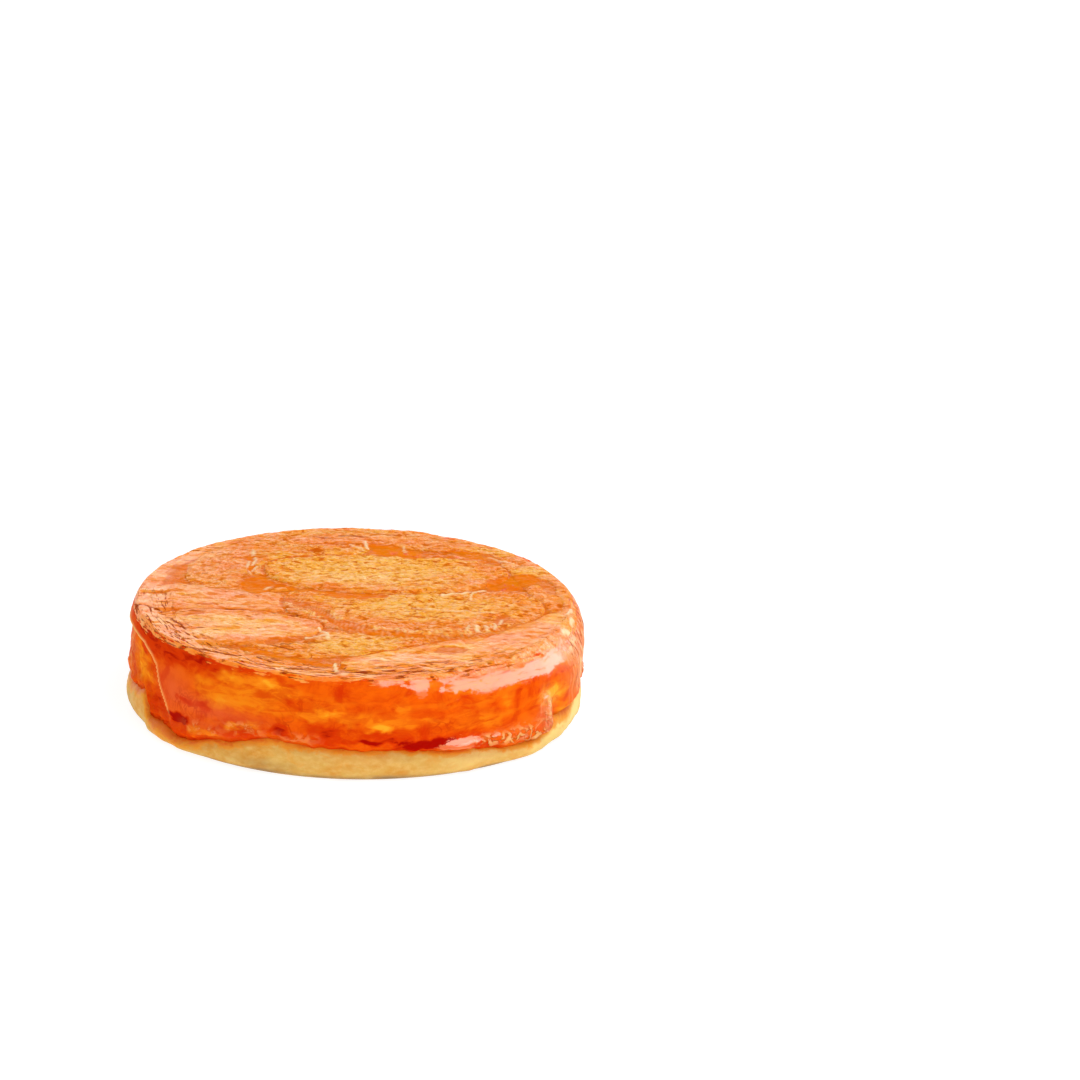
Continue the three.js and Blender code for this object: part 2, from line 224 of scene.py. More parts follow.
# The slices, uppermost first. Seen from above, each lies along a spine from one tip to the other.
# The spine bows to its left, and left and right are the half widths on its two sides. Lift is how
# much higher the crown stands, edge how far its edge rounds down, crinkle how wrinkled its glaze is
# and groove how wide the hollow beside it is.
SLICES = (
    dict(
        name="oval", tips=((-21, 20.1), (33.5, 20.1)), bow=-2, left=11.5, right=13.2,
        lift=0.3, crinkle=0.9, groove=1.1, edge=0.6,
    ),
    dict(
        name="tongue", tips=((-52, -17.4), (-7.5, -17.9)), bow=1, left=9, right=13,
        lift=0.2, crinkle=0.55, groove=0.6, edge=0.55,
    ),
    dict(
        name="middle", tips=((-14.8, 4.1), (39.5, 3.6)), bow=-9, left=12, right=17,
        lift=0.1, crinkle=1.0, groove=0.7, edge=0.4,
    ),
    dict(
        name="right", tips=((-3.5, -40.4), (49, -2.4)), bow=-9.6, left=9.4, right=12,
        lift=0.1, crinkle=0.35, groove=0.5, edge=0.5,
    ),
    dict(
        name="upper_left", tips=((-24, 38.6), (-34, 6.1)), bow=0, left=24, right=8.2,
        lift=0.05, crinkle=0.9, groove=0.2, edge=0.25,
    ),
    dict(
        name="left", tips=((-54, 2.1), (-14.3, -2.9)), bow=0, left=8.5, right=10.5,
        lift=0.05, crinkle=0.5, groove=0.2, edge=0.3,
    ),
    dict(
        name="behind", tips=((-20.5, 31.1), (2.6, 35.6)), bow=0, left=3.2, right=6,
        lift=0.0, crinkle=1.0, groove=0.2, edge=0.2,
    ),
    dict(
        name="front", tips=((-24.5, -33.4), (16, -23.4)), bow=0, left=8.5, right=6.8,
        lift=0.0, crinkle=1.0, groove=0.3, edge=0.3,
    ),
    dict(
        name="back", tips=((-27, 34.1), (34.5, 31.1)), bow=6, left=8, right=3.6,
        lift=0.0, crinkle=0.8, groove=0.2, edge=0.25,
    ),
    dict(
        name="right_rim", tips=((33, 34.6), (50, -10.4)), bow=0.6, left=6, right=5.4,
        lift=0.0, crinkle=0.8, groove=0.2, edge=0.25,
    ),
    dict(
        name="front_rim", tips=((-44, -25.2), (-3.5, -46.7)), bow=-3, left=5, right=6,
        lift=0.0, crinkle=0.8, groove=0.2, edge=0.2,
    ),
)

# Pools of clear caramel in the top, as ellipses: x, y, half length, half width, turn in degrees,
# strength.
POOLS = (
    (8.5, 32.1, 8.5, 3.3, -35, 1.0),
    (26.5, 31.6, 6.0, 1.8, -22, 0.9),
    (34.8, 13.8, 7.0, 4.2, 38, 1.0),
    (42.5, 12.1, 2.0, 5.0, 10, 0.6),
    (-22.9, 8.2, 3.6, 5.6, 12, 1.0),
    (-0.5, 2.8, 7.0, 2.2, 0, 0.9),
    (31.6, -10.9, 1.6, 3.6, -20, 0.7),
    (20.5, -30.4, 4.0, 2.3, 10, 0.6),
    (-45.5, 2.1, 3.4, 0.9, 8, 0.7),
    (-38.0, 9.6, 4.0, 0.8, -18, 0.6),
    (-33.0, -5.0, 2.6, 0.9, 0, 0.7),
    (-41.0, 17.6, 1.6, 3.2, -35, 0.5),
    (-36.5, -11.9, 3.0, 1.2, 20, 0.5),
    (43.0, -17.9, 4.0, 0.8, 30, 0.4),
)

# Channels of clear caramel: their points, half width and strength.
CHANNELS = (
    (((-24.5, 26.6), (-23.6, 15.6), (-18.5, 8.6), (-12, 5.6), (-5, 4.6)), 1.0, 1.0),
    (((-16.5, -0.4), (-10, -5.4), (-5.5, -13.4), (2, -17.9)), 1.3, 0.8),
    (((-5, -14.4), (-1, -18.9), (8, -20.9), (17, -22.4), (27, -21.9), (32, -16.4)), 1.2, 1.0),
    (((-24.5, -31.9), (-14, -37.4), (-3.7, -41.8)), 1.4, 1.0),
    (((-19, -27.9), (-12, -24.4), (-8, -23.4)), 0.9, 0.6),
)

# Ridges, raised a little and painted pale as glints that catch the light: their points, half width
# and strength.
RIDGES = (
    (((18.6, 3.9), (23, 5.2), (28.2, 8.6)), 0.45, 1.0),
    (((25.3, 4.6), (24.9, 1.4)), 0.3, 0.8),
    (((-8.2, -19.9), (-6.8, -21.9), (-6.2, -25.4)), 0.5, 0.9),
    (((-11, -24.2), (-6.5, -22.6)), 0.4, 0.8),
    (((-4.6, -39.9), (-4.3, -44.4)), 0.4, 0.9),
    (((1.4, 38.6), (1.8, 33.6)), 0.4, 0.8),
    (((-2, 36.1), (0.5, 33.6)), 0.35, 0.6),
    (((10, 35.6), (10.6, 32.1)), 0.25, 0.7),
    (((-16, -6.9), (-11, -8.4)), 0.3, 0.4),
    (((12, -4.8), (20, -6.0), (30, -6.6)), 0.4, 0.35),
    (((29.5, 30.6), (32, 28.1), (35, 26.6)), 0.35, 0.5),
    (((-23.4, 30.6), (-23.9, 27.2)), 0.3, 0.8),
    (((-23.2, 25.4), (-23.8, 21.5)), 0.35, 0.9),
    (((-24.6, 24), (-25, 19.4)), 0.25, 0.7),
    (((-23, 20.2), (-23.4, 17.2)), 0.3, 0.8),
    (((-24.2, 17.4), (-24.1, 14.8)), 0.25, 0.7),
    (((24.6, -15.2), (24.2, -18.4)), 0.3, 0.8),
    (((26.4, -15), (26.4, -18.6)), 0.35, 0.9),
    (((28.2, -14.2), (28.6, -17.6)), 0.35, 0.9),
    (((30.2, -13.2), (30.4, -16.2)), 0.3, 0.9),
    (((31.9, -11), (31.2, -14)), 0.3, 0.8),
    (((45.4, -14.8), (46.6, -13)), 0.7, 0.9),
    (((47.2, -9.5), (47.4, -6.8)), 0.45, 0.8),
    (((46.4, -5.2), (47.3, -2)), 0.35, 0.8),
    (((-20.6, 5.9), (-19.4, 7.4)), 0.35, 0.7),
    (((-21.5, 3), (-19.6, 3.4)), 0.3, 0.6),
)

# Long cracks in the glaze: their points, half width and strength.
CRACKS = (
    (((-29, -7.2), (-26, -8.0), (-22, -8.8), (-18, -9.8), (-13.5, -10.4)), 0.32, 1.0),
    (((-49.5, -5.4), (-46.5, -6.2), (-44.2, -8.2)), 0.28, 1.0),
    (((-42, -12.9), (-40.5, -15.4), (-37, -20.4)), 0.26, 0.9),
    (((-41, -29.4), (-36, -31.9), (-30, -34.4), (-25, -36.4)), 0.42, 0.9),
    (((-19.5, -29.4), (-16, -30.8), (-13.5, -32.8)), 0.3, 0.8),
    (((-17, -28.9), (-8, -26.9)), 0.25, 0.6),
    (((-5, -45.6), (0, -44.6), (6, -45.4)), 0.3, 0.8),
    (((-4, 42.6), (2, 41.6)), 0.4, 0.7),
    (((4, 44.6), (8, 43.6)), 0.35, 0.5),
    (((-11, 41.1), (-6, 40.1)), 0.35, 0.5),
    (((-40, -10.6), (-34, -9.8)), 0.25, 0.6),
    (((14, -40.4), (22, -41.9), (30, -40.4)), 0.25, 0.5),
    (((26, -42.4), (33, -38.9)), 0.25, 0.5),
    (((3, -38.4), (12, -39.2), (20, -37.8)), 0.22, 0.5),
)

# The comb of fibres along the outer edge of the middle slice: its points, half width and strength.
COMB = (
    ((-14, -3.4), (-8, -9.4), (-4, -15.4), (4, -19.4), (16, -20.9), (26, -20.4), (31.5, -15.4)),
    2.6,
    1.0,
)

# Where pale fruit shines through the glaze, as soft ellipses: x, y, half length, half width, turn,
# strength.
GOLDS = (
    (2, 19.4, 22, 11.5, 0, 0.9),
    (14, 19.0, 14, 9, 0, 0.6),
    (15, -3.4, 19, 8.5, 0, 0.75),
    (4, -2.4, 14, 6, 0, 0.4),
    (0, -28.4, 11, 6, 0, 0.8),
    (-27, -18.9, 16, 7, 0, 0.5),
    (38, 21.6, 5, 6, 30, 0.5),
    (44, -8.4, 3, 7, 20, 0.45),
    (-42, -1.9, 5, 3, 0, 0.4),
    (30, 34.6, 6, 4, -30, 0.4),
    (20, -28.4, 6, 3, 0, 0.45),
    (0, 43.6, 24, 3.5, 0, 0.1),
    (12, -37.4, 18, 4, 8, 0.35),
)

# Where the glaze is smooth and mirrors the pale room, as soft ellipses like those above.
VEILS = (
    (-29, -18.9, 22, 10, 0, 0.58),
    (-36, 1.6, 15, 7, 0, 0.55),
    (-46, -4.4, 4, 12, 0, 0.35),
    (33, -25.4, 12, 6, 28, 0.48),
    (14, -38.4, 16, 6, 6, 0.6),
    (-30, -35.4, 16, 4, -32, 0.35),
    (44, -18.4, 5, 8, 20, 0.6),
    (0, 12.6, 17, 5, 0, 0.4),
    (38, 25.6, 4, 6, 30, 0.3),
    (24, -3.4, 6, 5, 0, 0.1),
    (-32, 21.6, 12, 11, 0, 0.38),
    (0, 42.6, 20, 3, 0, 0.1),
    (-27, -2.4, 12, 4.5, 0, 0.45),
    (24, 14.6, 10, 5, 0, 0.2),
    (-18, 37.6, 14, 4, 14, 0.2),
    (0, -28.4, 11, 6, 0, 0.2),
)

# ---- Random fields and curves --------------------------------------------------------------------


def lattice(cell, seed):
    """Three pseudo-random numbers from -1 to 1 for each cell of whole numbers, mixed from its three
    coordinates."""
    x, y, z = (cell[..., k].astype(np.uint64) for k in range(3))
    mixed = x * np.uint64(0x9E3779B1) ^ y * np.uint64(0x85EBCA77) ^ z * np.uint64(0xC2B2AE3D)
    mixed = (mixed ^ np.uint64(seed * 0x27D4EB2F)) & np.uint64(0xFFFFFFFF)
    for shift, factor in ((15, 0x2C1B3C6D), (12, 0x297A2D39), (15, 0x1B56C4E9)):
        mixed = ((mixed ^ (mixed >> np.uint64(shift))) * np.uint64(factor)) & np.uint64(0xFFFFFFFF)
    parts = [(mixed >> np.uint64(shift)) & np.uint64(1023) for shift in (2, 12, 22)]
    return np.stack(parts, axis=-1).astype(float) / 511.5 - 1


def noise(points, size, seed):
    """Gradient noise, about -1 to 1: each cell corner holds a random slope, and the slopes are
    blended by a smooth fade across the cell. size is the cell in millimetres, one number or one for
    each axis."""
    place = points / np.asarray(size, dtype=float)
    base = np.floor(place)
    part = place - base
    fade = part**3 * (part * (part * 6 - 15) + 10)
    total = np.zeros(points.shape[:-1])
    for corner in itertools.product((0, 1), repeat=3):
        slope = lattice(base.astype(np.int64) + np.array(corner), seed)
        weight = np.prod(np.where(corner, fade, 1 - fade), axis=-1)
        total += weight * ((part - corner) * slope).sum(axis=-1)
    return 1.6 * total


def fractal(points, size, seed, octaves=3, gain=0.5):
    """Noise plus ever finer noise, each octave half the size and gain times the strength of the one
    before."""
    sizes = [np.asarray(size, dtype=float) / 2**k for k in range(octaves)]
    return sum(gain**k * noise(points, sizes[k], seed + k) for k in range(octaves))


def ease(value, low, high):
    """0 below low, 1 above high and a smooth step between them. low may be the larger."""
    way = np.clip((value - low) / (high - low), 0, 1)
    return way * way * (3 - 2 * way)


def around(table, azimuth, column):
    """A column of a table of azimuths, eased from each row to the next and from the last to the
    first."""
    at = np.array([row[0] for row in table] + [table[0][0] + 360.0])
    values = np.array([row[column] for row in table] + [table[0][column]])
    turned = (azimuth - at[0]) % 360 + at[0]
    row = np.clip(np.searchsorted(at, turned, side="right") - 1, 0, len(table) - 1)
    way = ease(turned, at[row], at[row + 1])
    return values[row] * (1 - way) + values[row + 1] * way


def curve(knots, way):
    """A smooth curve through equally spaced knots (the rows), at way from 0 to 1: a Catmull-Rom
    spline."""
    knots = np.asarray(knots, dtype=float)
    padded = np.concatenate([2 * knots[:1] - knots[1:2], knots, 2 * knots[-1:] - knots[-2:-1]])
    place = np.clip(way, 0, 1) * (len(knots) - 1)
    first = np.minimum(place.astype(int), len(knots) - 2)
    t = place - first
    a, b, c, d = (padded[first + k] for k in range(4))
    t = t.reshape(t.shape + (1,) * (knots.ndim - 1))
    square = (2 * a - 5 * b + 4 * c - d) * t**2
    cube = (3 * b - a - 3 * c + d) * t**3
    return 0.5 * (2 * b + (c - a) * t + square + cube)


def patches(table, azimuth, height):
    """The sum of bell-shaped patches on the wall, each by its azimuth, height, widths and
    strength."""
    total = np.zeros(np.broadcast(azimuth, height).shape)
    for at, level, wide, tall, strength in table:
        away = (azimuth - at + 180) % 360 - 180
        total += strength * np.exp(-((away / wide) ** 2) - ((height - level) / tall) ** 2)
    return total


def line_distance(x, y, knots):
    """Distance to a chain of straight pieces, and on which side of it a point lies: 1 left of its
    run, -1 right."""
    best = np.full(x.shape, np.inf)
    side = np.ones(x.shape)
    for (ax, ay), (bx, by) in zip(knots[:-1], knots[1:]):
        dx, dy = bx - ax, by - ay
        way = np.clip(((x - ax) * dx + (y - ay) * dy) / (dx * dx + dy * dy), 0, 1)
        gap = np.hypot(x - ax - way * dx, y - ay - way * dy)
        cross = dx * (y - ay) - dy * (x - ax)
        nearer = gap < best
        side = np.where(nearer, np.sign(cross), side)
        best = np.where(nearer, gap, best)
    return best, side


def strokes(table, x, y):
    """The strongest of some strokes at each point, full within a stroke's half width and fading
    beyond it."""
    total = np.zeros(x.shape)
    for knots, wide, strength in table:
        gap, _ = line_distance(x, y, knots)
        total = np.maximum(total, strength * ease(gap, 1.35 * wide, 0.55 * wide))
    return total


def ellipses(table, x, y, soft):
    """The strongest of some ellipses at each point. soft is the share of the size over which an
    edge fades."""
    total = np.zeros(x.shape)
    for at_x, at_y, long, wide, turn, strength in table:
        c, s = math.cos(math.radians(turn)), math.sin(math.radians(turn))
        u = (x - at_x) * c + (y - at_y) * s
        v = (y - at_y) * c - (x - at_x) * s
        away = np.hypot(u / long, v / wide)
        total = np.maximum(total, strength * ease(away, 1 + soft, 1 - soft))
    return total


def reach_of(points):
    """How far points lie from the upright axis through the middle of the filling."""
    return np.hypot(points[..., 0] - FILLING_MIDDLE[0], points[..., 1] - FILLING_MIDDLE[1])


def frayed(reach, flat):
    """A reach moved in and out by noise in two sizes, so that what ends there has a ragged edge."""
    return reach + 0.7 * noise(flat, (2.4, 2.4, 9), 81) + 0.3 * noise(flat, (1, 1, 9), 82)


def top_looks(points, crinkle):
    """How the top looks at its points: its relief in millimetres and the numbers that its material
    reads.

    Crinkles are the absolute value of noise, so round bumps meet in sharp valleys. Pools and
    channels lie lower and smooth, with ragged edges because their places are moved by noise. Cracks
    lie along the strokes of their table. At the front and left rim the glaze has dried pale, with
    furrows along bands of noise that follow the rim, and the field band says where the material
    draws thin tears."""
    place = points - FILLING_MIDDLE
    flat = place * np.array([1, 1, 0])
    x = flat[..., 0] + 0.8 * noise(flat, 3.1, 61) + 0.45 * noise(flat, 1.2, 62)
    y = flat[..., 1] + 0.8 * noise(flat, 3.1, 63) + 0.45 * noise(flat, 1.2, 64)
    azimuth = np.degrees(np.arctan2(flat[..., 0], -flat[..., 1]))
    reach = np.hypot(flat[..., 0], flat[..., 1])
    pool = np.maximum(ellipses(POOLS, x, y, 0.12), strokes(CHANNELS, x, y))
    # Strokes of the ridges, where the colour is painted pale as glints.
    pale_and_glint = strokes(RIDGES, flat[..., 0] * 0.6 + x * 0.4, flat[..., 1] * 0.6 + y * 0.4)
    crack = strokes(CRACKS, x, flat[..., 1] + 0.5 * (y - flat[..., 1]))
    outer = ease(reach, 40.5, 44.5)
    dried = outer * ease(azimuth, -150, -120) * ease(azimuth, 26, 4)
    band = ease(reach, 40, 43) * ease(azimuth, -104, -84) * ease(azimuth, 70, 20)
    along = np.stack([np.radians(azimuth) * 45 / 4.0, reach / 0.75, np.zeros_like(reach)], axis=-1)
    lines = noise(along, 1.0, 65) + 0.3 * noise(flat, 1.1, 66)
    furrow = band * ease(lines, 0.26, 0.5)
    frost = dried * ease(lines, 0.0, -0.45)
    speck = np.abs(noise(flat, (2.1, 1.3, 9), 68) + 0.5 * noise(flat, (1.0, 0.8, 9), 69))
    ripple = noise(flat, (3.4, 1.7, 9), 74)
    crinkled = crinkle * (1 - 0.85 * pool) * (1 - 0.65 * dried)
    # Painted shade: the glaze is darkened in the valleys between the crinkles.
    crease_shade = ease(speck, 0.2, 0.02) * np.clip(crinkled + 0.15, 0, 1)
    crease_shade = crease_shade * (0.5 + 0.4 * noise(flat, 6, 70))
    fibres = strokes((COMB,), x, y) * comb_teeth(flat)
    relief = crinkled * (0.42 * speck**0.8 - 0.2) + (0.1 + 0.16 * crinkled) * ripple
    relief = relief - 0.32 * pool - 0.15 * crack - 0.1 * furrow
    relief = relief + 0.22 * pale_and_glint + 0.2 * fibres + 0.08 * frost
    relief = relief + 0.3 * noise(flat, (9, 6, 9), 71) * (1 - 0.5 * pool)
    gold = ellipses(GOLDS, x, y, 0.55) * (1 - 0.7 * dried)
    gold = np.maximum(gold, 1.25 * fibres)
    smooth = ellipses(VEILS, flat[..., 0], flat[..., 1], 0.45)
    veil = 0.36 + 0.6 * smooth
    veil = np.maximum(veil, 0.58 * dried) + 0.2 * noise(flat, (6, 2.4, 9), 75)
    veil = veil * (1 - 0.97 * pool) * (1 - 0.97 * crack) * (1 - 0.5 * crease_shade)
    streaky = (0.5 + 0.5 * crinkle) * (1 - 0.8 * pool) * (1 - 0.8 * smooth) * (1 - 0.6 * dried)
    split = np.clip(1.3 * smooth + 0.5 * dried, 0, 1) * (1 - pool)
    grainy = np.clip(crinkle, 0.15, 1) * (1 - 0.6 * pool) * (1 - 0.7 * dried)
    return relief, {
        "gold": gold,
        "pool": pool,
        "crack": crack,
        "crease_shade": crease_shade,
        "streaky": streaky,
        "grainy": grainy,
        "split": split,
        "band": band,
        # Pale marks: glints painted on the ridges, fibres painted pale and partly as glints, and
        # dried glaze.
        "pale_and_glint": np.maximum.reduce([pale_and_glint, 0.25 * fibres, 0.08 * frost]),
        "veil": veil,
        "crinkle": crinkled,
    }


def comb_teeth(flat):
    """Fibres that fan out from the middle of the slice's bend, under a millimetre apart, broken by
    noise."""
    angle = np.degrees(np.arctan2(flat[..., 0] - 12, 12 - flat[..., 1]))
    count = angle / 1.7 + 0.8 * noise(flat, 4, 72)
    tooth = np.abs((count % 1) - 0.5) * 2
    return ease(tooth, 0.4, 0.8) * ease(noise(flat, (1.6, 2.2, 9), 73), -0.35, 0.2)


# ---- Meshes from grids ---------------------------------------------------------------------------


def grid_faces(rows, columns, closed):
    """Quads between neighbouring grid points, numbered row by row. closed joins the last column to
    the first."""
    index = np.arange(rows * columns).reshape(rows, columns)
    right = np.roll(index, -1, axis=1) if closed else index[:, 1:]
    left = index if closed else index[:, :-1]
    quads = np.stack([left[:-1], right[:-1], right[1:], left[1:]], axis=-1)
    return quads.reshape(-1, 4)


def make_piece(name, points, fields, material):
    """A closed piece from rings of points (rings, points round, 3), in millimetres. Quads join ring
    to ring and a fan closes the first and the last ring to its middle. fields are numbers for each
    grid point, kept as attributes for the material."""
    rings, count = points.shape[:2]
    ends = points[[0, -1]].mean(axis=1)
    flat = np.concatenate([points.reshape(-1, 3), ends])
    quads = grid_faces(rings, count, closed=True)
    first = np.arange(count)
    turned = np.roll(first, -1)
    last = first + (rings - 1) * count
    start = np.stack([np.full(count, rings * count), turned, first], axis=-1)
    end = np.stack([np.full(count, rings * count + 1), last, np.roll(last, -1)], axis=-1)
    loops = np.concatenate([quads.ravel(), start.ravel(), end.ravel()]).astype(np.int32)
    totals = np.concatenate([np.full(len(quads), 4), np.full(2 * count, 3)]).astype(np.int32)
    mesh = bpy.data.meshes.new(name)
    mesh.vertices.add(len(flat))
    mesh.vertices.foreach_set("co", (flat * MM).astype(np.float32).ravel())
    mesh.loops.add(len(loops))
    mesh.loops.foreach_set("vertex_index", loops)
    mesh.polygons.add(len(totals))
    starts = np.concatenate([[0], np.cumsum(totals)[:-1]]).astype(np.int32)
    mesh.polygons.foreach_set("loop_start", starts)
    mesh.polygons.foreach_set("loop_total", totals)
    mesh.update(calc_edges=True)
    mesh.polygons.foreach_set("use_smooth", np.ones(len(totals), dtype=bool))
    for key, values in fields.items():
        values = np.broadcast_to(values, (rings, count))
        ends = values[[0, -1]].mean(axis=1)
        attribute = mesh.attributes.new(key, "FLOAT", "POINT")
        values = np.concatenate([values.ravel(), ends])
        attribute.data.foreach_set("value", values.astype(np.float32))
    mesh.materials.append(material)
    mesh.validate()
    piece = bpy.data.objects.new(name, mesh)
    bpy.context.scene.collection.objects.link(piece)
    return piece


def polar(azimuth, radius, height, middle):
    """Points at an azimuth, a radius and a height round an upright axis through middle."""
    angle = np.radians(azimuth)
    shape = np.broadcast(azimuth, radius, height).shape
    return np.stack(
        [
            np.broadcast_to(middle[0] + radius * np.sin(angle), shape),
            np.broadcast_to(middle[1] - radius * np.cos(angle), shape),
            np.broadcast_to(height, shape),
        ],
        axis=-1,
    )


# ---- Materials -----------------------------------------------------------------------------------


# The rim's radius in millimetres, along which its tears and cracks are measured.
RIM_RADIUS = 48.0


class Finish:
    """A material with one Principled shader, and short calls that add and wire its procedural
    nodes."""

    def __init__(self, name, **sockets):
        self.material = bpy.data.materials.new(name)
        self.material.use_nodes = True
        self.tree = self.material.node_tree
        self.shader = self.tree.nodes["Principled BSDF"]
        for key, value in sockets.items():
            self.socket(key).default_value = value
        self.coordinates = self.tree.nodes.new("ShaderNodeTexCoord").outputs["Object"]

    def socket(self, name):
        """The shader's input of a name that is written with underscores."""
        return self.shader.inputs[name.replace("_", " ").title().replace("Ior", "IOR")]

    def wire(self, value, socket):
        """Links an output to a socket, or sets the socket's own value."""
        if isinstance(value, bpy.types.NodeSocket):
            self.tree.links.new(value, socket)
        else:
            socket.default_value = value

    def math(self, kind, a, b=0.0):
        """One value reckoned with another, by a kind of math node."""
        node = self.tree.nodes.new("ShaderNodeMath")
        node.operation = kind
        self.wire(a, node.inputs[0])
        self.wire(b, node.inputs[1])
        return node.outputs[0]

    def times(self, a, b):
        """One value times another."""
        return self.math("MULTIPLY", a, b)

    def field(self, key):
        """A number that each point of the mesh carries."""
        node = self.tree.nodes.new("ShaderNodeAttribute")
        node.attribute_name = key
        return node.outputs["Fac"]

    def noise_at(self, place, detail, roughness, distortion):
        """Noise with lumps of about 1 in the units of place."""
        node = self.tree.nodes.new("ShaderNodeTexNoise")
        node.inputs["Scale"].default_value = 1.0
        node.inputs["Detail"].default_value = detail
        node.inputs["Roughness"].default_value = roughness
        node.inputs["Distortion"].default_value = distortion
        self.wire(place, node.inputs["Vector"])
        return node.outputs["Fac"]

    def noise(self, size, detail=3.0, roughness=0.5, distortion=0.0, stretch=(1, 1, 1)):
        """Noise whose lumps are about size millimetres, longer along an axis where stretch is more
        than 1."""
        mapping = self.tree.nodes.new("ShaderNodeMapping")
        mapping.inputs["Scale"].default_value = [1 / (size * MM * k) for k in stretch]
        self.wire(self.coordinates, mapping.inputs["Vector"])
        return self.noise_at(mapping.outputs["Vector"], detail, roughness, distortion)

    def rim_noise(self, long, wide, detail=3.0, roughness=0.5, distortion=0.0):
        """Noise whose lumps are long millimetres round the Z axis and wide ones across it. It reads
        the angle round the axis times the rim's radius, the distance from the axis and the
        height."""
        parts = self.tree.nodes.new("ShaderNodeSeparateXYZ")
        self.wire(self.coordinates, parts.inputs[0])
        x, y, z = parts.outputs
        angle = self.math("ARCTAN2", x, self.times(y, -1.0))
        squares = self.math("ADD", self.times(x, x), self.times(y, y))
        place = self.tree.nodes.new("ShaderNodeCombineXYZ")
        self.wire(self.times(angle, RIM_RADIUS / long), place.inputs[0])
        self.wire(self.math("DIVIDE", self.math("SQRT", squares), wide * MM), place.inputs[1])
        self.wire(self.math("DIVIDE", z, wide * MM), place.inputs[2])
        return self.noise_at(place.outputs[0], detail, roughness, distortion)

    def span(self, value, low, high, new_low=0.0, new_high=1.0):
        """Maps the range low to high onto new_low to new_high, smoothly and clamped."""
        node = self.tree.nodes.new("ShaderNodeMapRange")
        node.interpolation_type = "SMOOTHSTEP"
        ends = {"From Min": low, "From Max": high, "To Min": new_low, "To Max": new_high}
        for end, number in ends.items():
            node.inputs[end].default_value = number
        self.wire(value, node.inputs["Value"])
        return node.outputs["Result"]

    def blend(self, share, a, b, kind="MIX"):
        """Blends colour a into colour b by a share."""
        node = self.tree.nodes.new("ShaderNodeMix")
        node.data_type = "RGBA"
        node.blend_type = kind
        node.clamp_factor = True
        self.wire(share, node.inputs["Factor"])
        self.wire(rgba(a), node.inputs["A"])
        self.wire(rgba(b), node.inputs["B"])
        return node.outputs["Result"]

    def mix(self, share, a, b):
        """Blends number a into number b by a share."""
        node = self.tree.nodes.new("ShaderNodeMix")
        node.clamp_factor = True
        self.wire(share, node.inputs["Factor"])
        self.wire(a, node.inputs["A"])
        self.wire(b, node.inputs["B"])
        return node.outputs["Result"]

    def bump(self, height, distance, strength=1.0, under=None):
        """A bump of distance millimetres for a height of 1, on top of another bump if there is
        one."""
        node = self.tree.nodes.new("ShaderNodeBump")
        node.inputs["Distance"].default_value = distance * MM
        self.wire(strength, node.inputs["Strength"])
        self.wire(height, node.inputs["Height"])
        if under is not None:
            self.wire(under, node.inputs["Normal"])
        return node.outputs["Normal"]

    def finish(self, **sockets):
        """Wires the given outputs to the shader and returns the material."""
        for key, value in sockets.items():
            self.wire(value, self.socket(key))
        return self.material


def rgba(colour):
    """A colour socket's value: an output as it is, or three numbers with full alpha."""
    return colour if isinstance(colour, bpy.types.NodeSocket) else (*tuple(colour)[:3], 1.0)


def baked_dough(colours):
    """Pale dough, golden on its lumps and brown along the foot, partly toasting and partly painted
    shade, with caramel soaked in from above. Its pale places are partly a painted highlight on the
    lit right side."""
    dough = Finish(
        "baked_dough",
        roughness=0.62,
        ior=1.38,
        specular_ior_level=0.2,
        subsurface_weight=0.3,
        subsurface_radius=(1.0, 0.5, 0.22),
        subsurface_scale=1.6 * MM,
    )
    lumps = dough.noise(8, detail=4, roughness=0.55, stretch=(1.3, 1.3, 0.8))
    grain = dough.noise(1.2, detail=4, roughness=0.6, stretch=(1.6, 1.6, 1))
    colour = dough.blend(dough.span(lumps, 0.4, 0.6), colours.dough, colours.dough_golden)
    colour = dough.blend(dough.span(grain, 0.35, 0.75, 0.0, 0.4), colour, colours.dough_pale)
    # Pale places: partly flour, partly a painted highlight on the lit right side.
    colour = dough.blend(dough.field("pale"), colour, colours.dough_pale)
    # The darker foot: toasting and painted contact shadow.
    toast_and_shade = dough.times(dough.field("toast_and_shade"), dough.span(lumps, 0.3, 0.6, 0.5, 1.0))
    colour = dough.blend(toast_and_shade, colour, colours.dough_brown)
    edge = dough.noise(3.2, detail=5, roughness=0.65, distortion=0.6, stretch=(1.5, 1.5, 1))
    soaked = dough.math("ADD", dough.field("soaked"), dough.span(edge, 0.3, 0.7, -0.4, 0.4))
    colour = dough.blend(dough.span(soaked, 0.15, 0.85), colour, colours.soaked_dough)
    colour = dough.blend(dough.span(soaked, 0.8, 1.35, 0.0, 0.8), colour, colours.stain)
    wet = dough.span(soaked, 0.3, 1.0, 0.62, 0.45)
    normal = dough.bump(dough.noise(0.8, detail=5, roughness=0.65), 0.22, 0.6)
    normal = dough.bump(dough.noise(3.5, detail=3, stretch=(1.5, 1.5, 0.7)), 0.6, 0.5, under=normal)
    return dough.finish(base_color=colour, roughness=wet, normal=normal)


